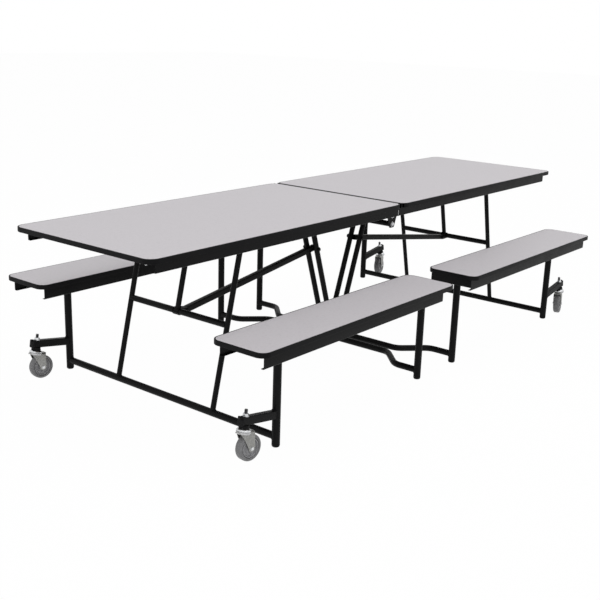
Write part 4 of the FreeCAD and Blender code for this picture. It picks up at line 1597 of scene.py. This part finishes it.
@dataclass
class Caster(SubAssembly):
    """Swivel fork with its axle, and the wheel that runs in it."""

    arm: CasterArm = field(default_factory=CasterArm)
    sheet: float = 3.0
    crown_x: Span = (-44.0, 28.0)
    crown_gap: float = 0.3
    cheek_inset: float = 6.0
    bend: float = 6.0
    boss: float = 14.0
    crease: float = -19.0
    crease_run: float = 3.0
    panel: float = 1.3
    lean: float = 0.16
    edge_droop: float = 0.7
    columns: int = 26
    shank: float = 9.8
    axle_head: HexHead = field(default_factory=lambda: HexHead(6.6, 4.6, 7.6, 0.9))
    trail: float = 32.0
    wheel_radius: float = 50.8
    wheel_width: float = 32.0
    side_gap: float = 1.5
    floor_gap: float = 2.0
    headings: dict[Half, float] = field(default_factory=lambda: {Half.LEFT: 7.0, Half.RIGHT: 16.0})

    @property
    def axle(self) -> Vector:
        """Centre of the wheel.

        Returns:
            Its place from the crossing of the arm's and the stem's axes.
        """
        arm = self.arm
        rise = math.radians(arm.rise)
        height = arm.height + (arm.stem_along - self.trail) * math.sin(rise)
        depth = (height - self.wheel_radius - self.floor_gap) / math.cos(rise)
        return Vector((-self.trail, 0, -depth))

    @property
    def top(self) -> float:
        """Height of the fork's crown."""
        return self.arm.race - self.crown_gap

    @property
    def inner(self) -> float:
        """Half the distance between the fork's cheeks."""
        return self.wheel_width / 2 + self.side_gap

    def place(self, half: Half, row: Row) -> Matrix:
        """Frame of a caster before it is mirrored, drawn at the front on the +X side."""
        swivel = Matrix.Rotation(math.radians(self.headings[half]) * row.sign, 4, "Z")
        return self.arm.place @ Matrix.Translation(X_AXIS * self.arm.stem_along) @ swivel

    def build(self, half: Half, row: Row) -> None:
        """Build one caster.

        Args:
            half: Half that it carries.
            row: Row that it stands in.
        """
        prefix, factors = f"{half.value}_{row.value}_", self.factors(half, row)
        fork, wheel = self.fork(), self.wheel()
        for draft in (fork, wheel):
            draft.carry(self.place(half, row))
        self.hand_in(prefix, "caster", factors, ("fork", fork, Slot.ZINC, "caster_fork", 0.3))
        self.hand_in(
            prefix, "wheel", factors, ("wheel_tyre", wheel, Slot.WHEEL, "caster_wheel", 0))

    def fork(self) -> Draft:
        """Draw the pressed fork and its axle bolt.

        Returns:
            The draft.
        """
        draft = Draft(Tone.PRESSING)
        axle, top, middle = self.axle, self.top, self.inner + self.sheet / 2
        crown, end = top - self.sheet / 2, axle.z - self.boss
        half = [(middle, end)] + corner_arc(
            Vector((middle, axle.z)), Vector((middle, crown)), Vector((0, crown)), self.bend, 6)
        self.pressing(draft, filled([(-y, z) for y, z in half] + half[::-1]))
        draft.tone = Tone.CUP
        cup = [(0, top - 3.4), (22.5, top - 3.4), (23.6, top - 8.4), (25.0, top - 9.0),
               (26.4, top - 8.0), (27.4, top - 5.0), (27.2, top - 2.2), (26.0, top - 0.5),
               (24.5, top), (0, top)]
        turned(draft, cup, Vector((0, 0, 0)), Z_AXIS, 64)
        draft.tone = Tone.ZINC
        cross_bolt(draft, self.axle_head, axle, self.inner + self.sheet, self.shank)
        return draft

    def pressing(self, draft: Draft, line: Loop) -> None:
        """Folded strip of sheet: up one cheek, over the crown and down the other.

        Args:
            draft: Draft to add to.
            line: The strip's middle line in YZ.
        """
        rings = []
        for index, (y, z) in enumerate(line):
            normal = normal_at(line, index)
            back, front = self.strip_limits(y, z)
            sides: list[list[Vector]] = [[], []]
            for column in range(self.columns + 1):
                share = column / self.columns
                x = back + (front - back) * share
                stand = self.relief(x, y, z) - self.edge_droop * abs(2 * share - 1) ** 6
                for side, offset in zip(sides, (self.sheet / 2, -self.sheet / 2)):
                    shift = normal * (offset + stand)
                    side.append(Vector((x, y + shift.x, z + shift.y)))
            rings.append(sides[0] + sides[1][::-1])
        loft(draft, rings)

    def strip_limits(self, y: float, z: float) -> Span:
        """Back and front edge of the fork's strip.

        Args:
            y: Cross position on the strip.
            z: Height on the strip.

        Returns:
            The two edges along x.
        """
        axle = self.axle
        back, front = self.crown_x[0] + self.cheek_inset, self.crown_x[1] - self.cheek_inset
        if abs(y) < self.inner:
            swell = self.cheek_inset * math.sqrt(1 - (y / self.inner) ** 2)
            return back - swell, front + swell
        if z < axle.z:
            half = max(1.5, math.sqrt(max(0.0, self.boss ** 2 - (z - axle.z) ** 2)))
            return axle.x - half, axle.x + half
        share = min(1.0, (z - axle.z) / (self.top - self.bend - axle.z))
        low, high = axle.x - self.boss, axle.x + self.boss
        return low + (back - low) * share, high + (front - high) * share

    def relief(self, x: float, y: float, z: float) -> float:
        """How far the fork's sheet stands out, with a flat panel behind a crease.

        Args:
            x: Place along the fork.
            y: Cross position on the strip.
            z: Height on the strip.

        Returns:
            Distance along the sheet's outer normal.
        """
        share = (z - self.axle.z) / (self.top - self.axle.z)
        panel = max(0.0, min(1.0, (share + 0.1) * 4, (0.9 - share) * 8))
        behind = max(0.0, min(1.0, (self.crease - x) / self.crease_run + 0.5))
        lean = self.lean * max(0.0, x - self.crease) * max(0.0, min(1.0, (share - 0.5) * 2.6))
        return self.panel * panel * behind - lean * min(1.0, 2 * abs(y) / self.wheel_width) ** 2

    def wheel(self) -> Draft:
        """Draw the tyre and the dished hub with its rings.

        Returns:
            The draft.
        """
        draft = Draft(Tone.TYRE)
        half = self.wheel_width / 2
        tyre: Loop = [
            (37.4, half - 4.2), (38.2, half - 2.0), (39.6, half - 0.4), (41.2, half), (44.8, half),
            (46.8, half - 0.8), (48.2, half - 2.4), (49.4, half - 3.4), (50.3, half - 5.2),
            (50.7, half - 8.5), (self.wheel_radius, half - 13)]
        hub: Loop = [
            (5.05, half + 1), (9.5, half + 1), (11.3, half + 0.4), (12.0, half - 1.2),
            (12.6, half - 6.5), (14.5, half - 7.8), (18.8, half - 7.4), (20.2, half - 4.4),
            (22.6, half - 4.0), (24.0, half - 7.2), (29.0, half - 7.6), (31.0, half - 4.6),
            (32.6, half - 1.2), (35.4, half - 0.6), (36.6, half - 2.2), (37.2, half - 6.5)]
        for tone, face in ((Tone.TYRE, tyre), (Tone.HUB, hub)):
            draft.tone = tone
            back = [(radius, -place) for radius, place in reversed(face)]
            turned(draft, face + back, self.axle, Y_AXIS, 96, closed=True)
        return draft


@dataclass
class InnerFrame(SubAssembly):
    """Inner leg frame: two legs, the bent crossbar, the posts and their plastic ends."""

    post: Vector = spot(150.0, -600.0, 0.0)
    post_cope: float = 9.0
    dome_top: float = 425.7
    leg: float = 25.4
    leg_y: float = 28.0
    foot: Vector = spot(16.0, 0.0, 40.0)
    pivot: Vector = spot(240.0, 0.0, 697.0)
    pivot_tube: float = 20.0
    pivot_wall: float = 4.9
    head: float = 10.0
    bar: float = 28.6
    bar_x: float = 36.0
    flat: float = 365.0
    bend_angle: float = 45.0
    bend_radius: float = 70.0
    strut_z: float = 497.0

    def build(self, half: Half) -> None:
        """Build all pieces of one half's inner frame.

        Args:
            half: Which half.
        """
        self.hand_in(
            half.value + "_", "inner_frame", self.factors(half),
            ("leg_pair", self.legs(), Slot.STEEL, "inner_legs", 0.3),
            ("bent_bar", self.bent_bar(), Slot.STEEL, "inner_bent_crossbar", 0.3),
            ("inner_bench_posts", self.posts(), Slot.STEEL, "inner_posts", 0.3),
            ("inner_glides_and_domes", self.plastic(), Slot.PLASTIC, "inner_plastic_ends", 0))

    @property
    def strut_head(self) -> Vector:
        """Where the strut's upper bolts cross the legs."""
        share = (self.strut_z - self.foot.z) / (self.pivot.z - self.foot.z)
        return self.foot.lerp(self.pivot, share)

    def legs(self) -> Draft:
        """Draw the leg pair, its spacer and the strut's stub bolts.

        Returns:
            The draft.
        """
        draft = Draft(Tone.STEEL)
        along = (self.pivot - self.foot).normalized()
        side, radius = Y_AXIS * self.leg_y, self.leg / 2
        start = self.foot - side
        tube(draft, start, self.pivot + along * self.head - side, self.leg)
        bar = Vector((self.bar_x, 0, self.foot.z))
        weld(draft, ring_points(start, along, radius), along, bar, Y_AXIS, self.bar / 2)
        outside, inside = (self.strut_head - side + Y_AXIS * reach for reach in (-radius, radius))
        HexHead().draw(draft, outside, -Y_AXIS)
        tube(draft, outside, inside, SHANK, SHANK_WALL)
        draft.copy_across()
        reach = Y_AXIS * (self.leg_y - radius)
        tube(draft, self.pivot - reach, self.pivot + reach, self.pivot_tube, self.pivot_wall)
        return draft

    def bent_bar(self) -> Draft:
        """Draw the bent crossbar with its beads at the posts.

        Returns:
            The draft.
        """
        draft = Draft(Tone.STEEL)
        x, y, z = self.post.x, self.post.y, self.foot.z
        run = (x - self.bar_x) / math.tan(math.radians(self.bend_angle))
        front = [(x, y + self.post_cope), (x, -self.flat - run), (self.bar_x, -self.flat)]
        corners = front + [(x, -y) for x, y in reversed(front)]
        route = bent_route([Vector((x, y, z)) for x, y in corners], self.bend_radius)
        sweep(draft, route, [circle(self.bar / 2), circle(self.bar / 2 - TUBE_WALL)], Z_AXIS)
        weld_to_posts(draft, x, y, z, self.bar / 2)
        return draft

    def posts(self) -> Draft:
        """Draw the two inner bench posts.

        Returns:
            The draft.
        """
        draft = Draft(Tone.STEEL)
        Post().draw_tube(draft, self.post, self.dome_top - POST_RADIUS)
        draft.copy_across()
        return draft

    def plastic(self) -> Draft:
        """Draw the glides and the domed caps.

        Returns:
            The draft.
        """
        draft = Draft(Tone.PLASTIC)
        Post().draw_glide(draft, self.post)
        Post().draw_dome(draft, self.post, self.dome_top)
        draft.copy_across()
        return draft


@dataclass
class Strut(SubAssembly):
    """Square tube that ties the outer frame to the inner legs."""

    size: float = 25.4
    corner: float = 4.0
    end: float = 14.0

    def build(self, half: Half, outer: OuterFrame, inner: InnerFrame) -> None:
        """Build one strut.

        Args:
            half: Which half.
            outer: Frame that holds its foot.
            inner: Frame that holds its head.
        """
        draft = Draft(Tone.STEEL)
        end = (inner.strut_head - outer.strut_foot).normalized() * self.end
        bore = self.size - 2 * TUBE_WALL
        outside = box_section(self.size, self.size, self.corner)
        inside = box_section(bore, bore, self.corner - TUBE_WALL)
        route = [outer.strut_foot - end, inner.strut_head + end]
        sweep(draft, route, [outside, inside], Z_AXIS)
        self.hand_in(
            half.value + "_", "strut_link", self.factors(half),
            ("fold_strut", draft, Slot.STEEL, "strut", 0.3))


@dataclass
class CentreLink(SubAssembly):
    """Hinge plates between the halves, their cross tube and bolts."""

    pin: Vector = spot(0.0, 0.0, 675.0)
    plate_y: float = 320.0
    sheet: float = 4.0
    top_half: float = 36.0
    bottom_half: float = 16.0
    top_rise: float = 14.0
    shoulder_drop: float = 4.0
    bottom_drop: float = 55.0
    corner: float = 8.0
    tube_drop: float = 39.0
    tube_size: float = 25.4
    ear_back: float = 312.5

    def build(self) -> None:
        """Build the link."""
        centre = self.pin - Z_AXIS * self.tube_drop
        reach = Y_AXIS * self.plate_y
        bar = Draft(Tone.STEEL)
        tube(bar, centre - reach, centre + reach, self.tube_size, PIVOT_TUBE_WALL)
        face, back = (Y_AXIS * y for y in (-self.plate_y - self.sheet, -self.ear_back))
        bolts = Draft(Tone.ZINC)
        HexHead().draw(bolts, self.pin + face, -Y_AXIS)
        HexHead().draw(bolts, self.pin + back, Y_AXIS)
        tube(bolts, self.pin + face, self.pin + back, SHANK, SHANK_WALL)
        HexHead().draw(bolts, centre + face, -Y_AXIS)
        bolts.copy_across()
        self.hand_in(
            "", "centre_link", self.factors(Half.RIGHT),
            ("hinge_plates", self.plates(), Slot.STEEL, "link_plates", 0.5),
            ("hinge_cross_tube", bar, Slot.STEEL, "link_cross_tube", 0.3),
            ("hinge_bolts", bolts, Slot.ZINC, "link_bolts", 0))

    def plates(self) -> Draft:
        """Draw the two plates.

        Returns:
            The draft.
        """
        draft = Draft(Tone.STEEL)
        top, low = self.pin.z + self.top_rise, self.pin.z - self.bottom_drop
        shoulder = self.pin.z - self.shoulder_drop
        side = [(self.bottom_half, low), (self.top_half, shoulder), (self.top_half, top)]
        corners = side + [(-x, z) for x, z in reversed(side)]
        outline = softened(corners, self.corner, 6)
        slab(draft, outline, -self.plate_y - self.sheet, -self.plate_y, Y_AXIS)
        draft.copy_across()
        return draft


@dataclass
class Bench(SubAssembly):
    """Bench seat with its aprons, bracket and pivot bolt."""

    x_range: Span = (82.0, 1340.0)
    width: float = 252.0
    height: float = 445.0
    corner: float = 40.0
    apron_depth: float = 48.0
    apron_inset: float = 23.0
    outer_margin: float = 30.0
    inner_margin: dict[Half, float] = field(
        default_factory=lambda: {Half.LEFT: 68.0, Half.RIGHT: 8.0})
    end_depth: float = 36.0
    end_flange: float = 13.0
    end_bend: float = 2.5
    end_gap: float = 0.2
    pivot: Vector = spot(1116.0, -600.0, 400.0)
    bracket_half: float = 30.0
    bracket_end: float = 12.0
    bracket_round: float = 11.0
    bracket_sheet: float = 3.0
    strap_inset: float = 14.5
    strap_round: float = 3.0
    post_gap: float = 0.5
    screw_count: int = 6
    screw_pitch: float = 205.0
    screw_start: float = 60.0
    screw_inset: float = 8.5

    @property
    def underside(self) -> float:
        """Height of the seat's lower face."""
        return self.height - Board.thickness

    @property
    def face(self) -> float:
        """Half the distance between the aprons' outer faces."""
        return self.width / 2 - self.apron_inset

    def build(self, half: Half, row: Row) -> None:
        """Build one bench.

        Args:
            half: Half that it belongs to.
            row: Row that it stands in.
        """
        y_range = (self.pivot.y - self.width / 2, self.pivot.y + self.width / 2)
        board, moulding = Board().draw(self.x_range, y_range, self.height, self.corner)
        self.hand_in(
            f"{half.value}_{row.value}_", "bench", self.factors(half, row),
            ("seat_laminate", board, Slot.LAMINATE, "seat_board", 0.25),
            ("seat_moulding", moulding, Slot.MOULDING, "seat_edge_band", 0),
            ("seat_rails", self.frame(half), Slot.STEEL, "seat_frame", 0.3),
            ("seat_fasteners", self.fasteners(half), Slot.ZINC, "", 0))

    def frame(self, half: Half) -> Draft:
        """Draw the aprons, the end channel of a right bench and the pivot bracket.

        Args:
            half: Half that the bench belongs to.

        Returns:
            The draft.
        """
        draft = Draft(Tone.STEEL)
        start = self.x_range[0] + self.inner_margin[half]
        x_range = (start, self.x_range[1] - self.outer_margin)
        for sign in (-1, 1):
            face = self.pivot.y + sign * self.face
            Channels().rail(draft, x_range, face, self.underside, self.apron_depth, -sign)
        if half is Half.RIGHT:
            self.end_channel(draft, start)
        self.bracket(draft)
        return draft

    def end_channel(self, draft: Draft, x: float) -> None:
        """Angle across the inner end of the aprons.

        Args:
            draft: Draft to add to.
            x: Place of the aprons' ends along the table.
        """
        half, reach = Channels.sheet / 2, self.face - self.end_gap
        low = half - self.end_depth
        line = [(0, -half), (0, low), (self.end_flange, low)]
        section = folded_sheet(line, Channels.sheet, self.end_bend)
        route = [Vector((x - half, self.pivot.y + y, self.underside)) for y in (reach, -reach)]
        sweep(draft, route, [section], Z_AXIS)

    def bracket(self, draft: Draft) -> None:
        """Strap across the aprons with two ears on the post.

        Args:
            draft: Draft to add to.
        """
        (x, y, z), top = self.pivot, self.underside
        half, end, sheet = self.bracket_half, self.bracket_end, self.bracket_sheet
        reach = self.face - self.strap_inset
        strap = rectangle((x - half, x + half), (y - reach, y + reach))
        slab(draft, softened(strap, self.strap_round), top - sheet, top, Z_AXIS)
        corners = [(x - half, top), (x - end, z - end), (x + end, z - end), (x + half, top)]
        ear = softened(corners, [0, self.bracket_round, self.bracket_round, 0], 8)
        near = POST_RADIUS + self.post_gap
        slab(draft, ear, y - near - sheet, y - near, Y_AXIS)
        slab(draft, ear, y + near, y + near + sheet, Y_AXIS)

    def fasteners(self, half: Half) -> Draft:
        """Draw the pivot bolt and the screws under the seat.

        Args:
            half: Half that the bench belongs to.

        Returns:
            The draft.
        """
        draft = Draft(Tone.ZINC)
        reach = POST_RADIUS + self.post_gap + self.bracket_sheet
        cross_bolt(draft, HexHead(), self.pivot, reach)
        start = self.x_range[0] + self.inner_margin[half] + self.screw_start
        inset, level = self.face - self.screw_inset, self.underside - Channels.sheet
        for index in range(self.screw_count):
            for y in (self.pivot.y - inset, self.pivot.y + inset):
                seat = Vector((start + index * self.screw_pitch, y, level))
                PanScrew().draw(draft, seat, -Z_AXIS)
        return draft


# ---- studio ----
@dataclass
class Studio:
    """Pale floor, soft lamps, white surroundings and the camera."""

    floor_size: float = 60.0
    floor_dark: Colour = (0.90, 0.90, 0.90)
    floor_light: Colour = (0.92, 0.92, 0.92)
    floor_roughness: Span = (0.85, 0.9)
    floor_seen: float = 0.985
    floor_cloud: Wave = (1.3, 2.0)
    world_light: float = 0.22
    world_seen: float = 0.78
    camera_place: tuple[float, float, float] = (-3.61307, -2.68987, 1.51088)
    yaw: float = 51.36
    pitch: float = 16.19
    roll: float = 1.79
    focal_pixels: float = 959.81
    frame_pixels: float = 600.0
    sensor: float = 36.0
    clip_end: float = 200.0

    def build(self) -> None:
        """Build everything that isn't part of the table."""
        self.floor()
        self.world()
        self.lamps()
        self.camera()

    def floor(self) -> None:
        """Level floor that shows as near white and keeps a soft shadow."""
        half = self.floor_size / 2
        mesh = bpy.data.meshes.new("studio_floor")
        corners = rectangle((-half, half), (-half, half))
        mesh.from_pydata([(x, y, 0) for x, y in corners], [], [(0, 1, 2, 3)])
        floor = bpy.data.objects.new("studio_floor", mesh)
        bpy.context.scene.collection.objects.link(floor)
        floor.data.materials.append(self.floor_finish())

    def floor_finish(self) -> bpy.types.Material:
        """Matt pale paint that cameras and mirrors see as white.

        Returns:
            The material.
        """
        shader = Shader("studio floor paint")
        nodes = shader.tree.nodes
        cloud = shader.texture(self.floor_cloud)
        shader.tint(cloud, NOISE_SPAN, (self.floor_dark, self.floor_light))
        shader.rough(cloud, self.floor_roughness)
        glow = nodes.new("ShaderNodeEmission")
        glow.inputs["Strength"].default_value = 1.0
        mix = nodes.new("ShaderNodeMixShader")
        shader.link(self.seen(shader.tree, self.floor_seen), mix.inputs["Fac"])
        shader.link(shader.surface.outputs["BSDF"], mix.inputs[1])
        shader.link(glow.outputs["Emission"], mix.inputs[2])
        shader.link(mix.outputs["Shader"], nodes["Material Output"].inputs["Surface"])
        return shader.material

    @staticmethod
    def seen(tree: bpy.types.NodeTree, share: float) -> Socket:
        """Value for camera, glossy and transmission rays; other rays get 0.

        Args:
            tree: Node tree to add to.
            share: Value for such rays.

        Returns:
            The value as a socket.
        """
        path = tree.nodes.new("ShaderNodeLightPath").outputs
        direct = combine(tree, "MAXIMUM", path["Is Camera Ray"], path["Is Glossy Ray"])
        direct = combine(tree, "MAXIMUM", direct, path["Is Transmission Ray"])
        return combine(tree, "MULTIPLY", direct, share)

    def world(self) -> None:
        """Soft ambient light, white where it is seen."""
        world = bpy.data.worlds.new("studio")
        bpy.context.scene.world = world
        world.use_nodes = True
        tree = world.node_tree
        background = tree.nodes["Background"]
        background.inputs["Color"].default_value = (1.0, 1.0, 1.0, 1.0)
        strength = combine(tree, "ADD", self.seen(tree, self.world_seen), self.world_light)
        tree.links.new(strength, background.inputs["Strength"])

    def lamps(self) -> None:
        """Overhead softbox, and two weaker ones low at the front and at the side."""
        self.softbox("overhead", (1.4, -0.6, 8.5), (0.2, 0.0, 0.4), 8.0, 455.0, True)
        self.softbox("front fill", (-3.2, -4.8, 2.3), (0.0, 0.0, 0.4), 2.6, 75.0, False)
        self.softbox("side fill", (-4.6, -0.4, 2.3), (0.0, 0.0, 0.4), 2.0, 28.0, False)

    @staticmethod
    def softbox(name: str, place: tuple[float, float, float], aim: tuple[float, float, float],
                size: float, power: float, mirrored: bool) -> None:
        """Square area lamp.

        Args:
            name: Name of the lamp.
            place: Its place in metres.
            aim: Point that it faces.
            size: Side length in metres.
            power: Power in watts.
            mirrored: Whether shiny surfaces show it.
        """
        data = bpy.data.lights.new(name, "AREA")
        data.shape = "SQUARE"
        data.size = size
        data.energy = power
        lamp = bpy.data.objects.new(name, data)
        lamp.location = place
        lamp.visible_glossy = mirrored
        lamp.rotation_euler = (Vector(aim) - Vector(place)).to_track_quat("-Z", "Y").to_euler()
        bpy.context.scene.collection.objects.link(lamp)

    def camera(self) -> None:
        """Camera at the viewing angle of the square frame."""
        yaw, pitch, roll = (math.radians(angle) for angle in (self.yaw, self.pitch, self.roll))
        level_x, level_y = math.sin(yaw) * math.cos(pitch), math.cos(yaw) * math.cos(pitch)
        ahead = Vector((level_x, level_y, -math.sin(pitch)))
        level = ahead.cross(Z_AXIS).normalized()
        over = level.cross(ahead)
        right = level * math.cos(roll) + over * math.sin(roll)
        up = over * math.cos(roll) - level * math.sin(roll)
        data = bpy.data.cameras.new("camera")
        data.sensor_width = self.sensor
        data.lens = self.focal_pixels / self.frame_pixels * self.sensor
        data.clip_end = self.clip_end
        camera = bpy.data.objects.new("camera", data)
        turn = Matrix((right, up, -ahead)).transposed().to_4x4()
        camera.matrix_world = Matrix.Translation(self.camera_place) @ turn
        scene = bpy.context.scene
        scene.collection.objects.link(camera)
        scene.camera = camera
        scene.view_settings.view_transform = "Standard"


def main() -> None:
    """Build the table's sub-assemblies and the studio in order."""
    shop = Workshop()
    top = TableTop(shop)
    outer = OuterFrame(shop)
    inner = InnerFrame(shop)
    strut = Strut(shop)
    bench = Bench(shop)
    caster = Caster(shop)
    for half in Half:
        top.build(half)
        outer.build(half)
        inner.build(half)
        strut.build(half, outer, inner)
        for row in Row:
            bench.build(half, row)
            caster.build(half, row)
    CentreLink(shop).build()
    Studio().build()
    LOG.info("%d pieces", shop.count)


if __name__ == "__main__":
    main()
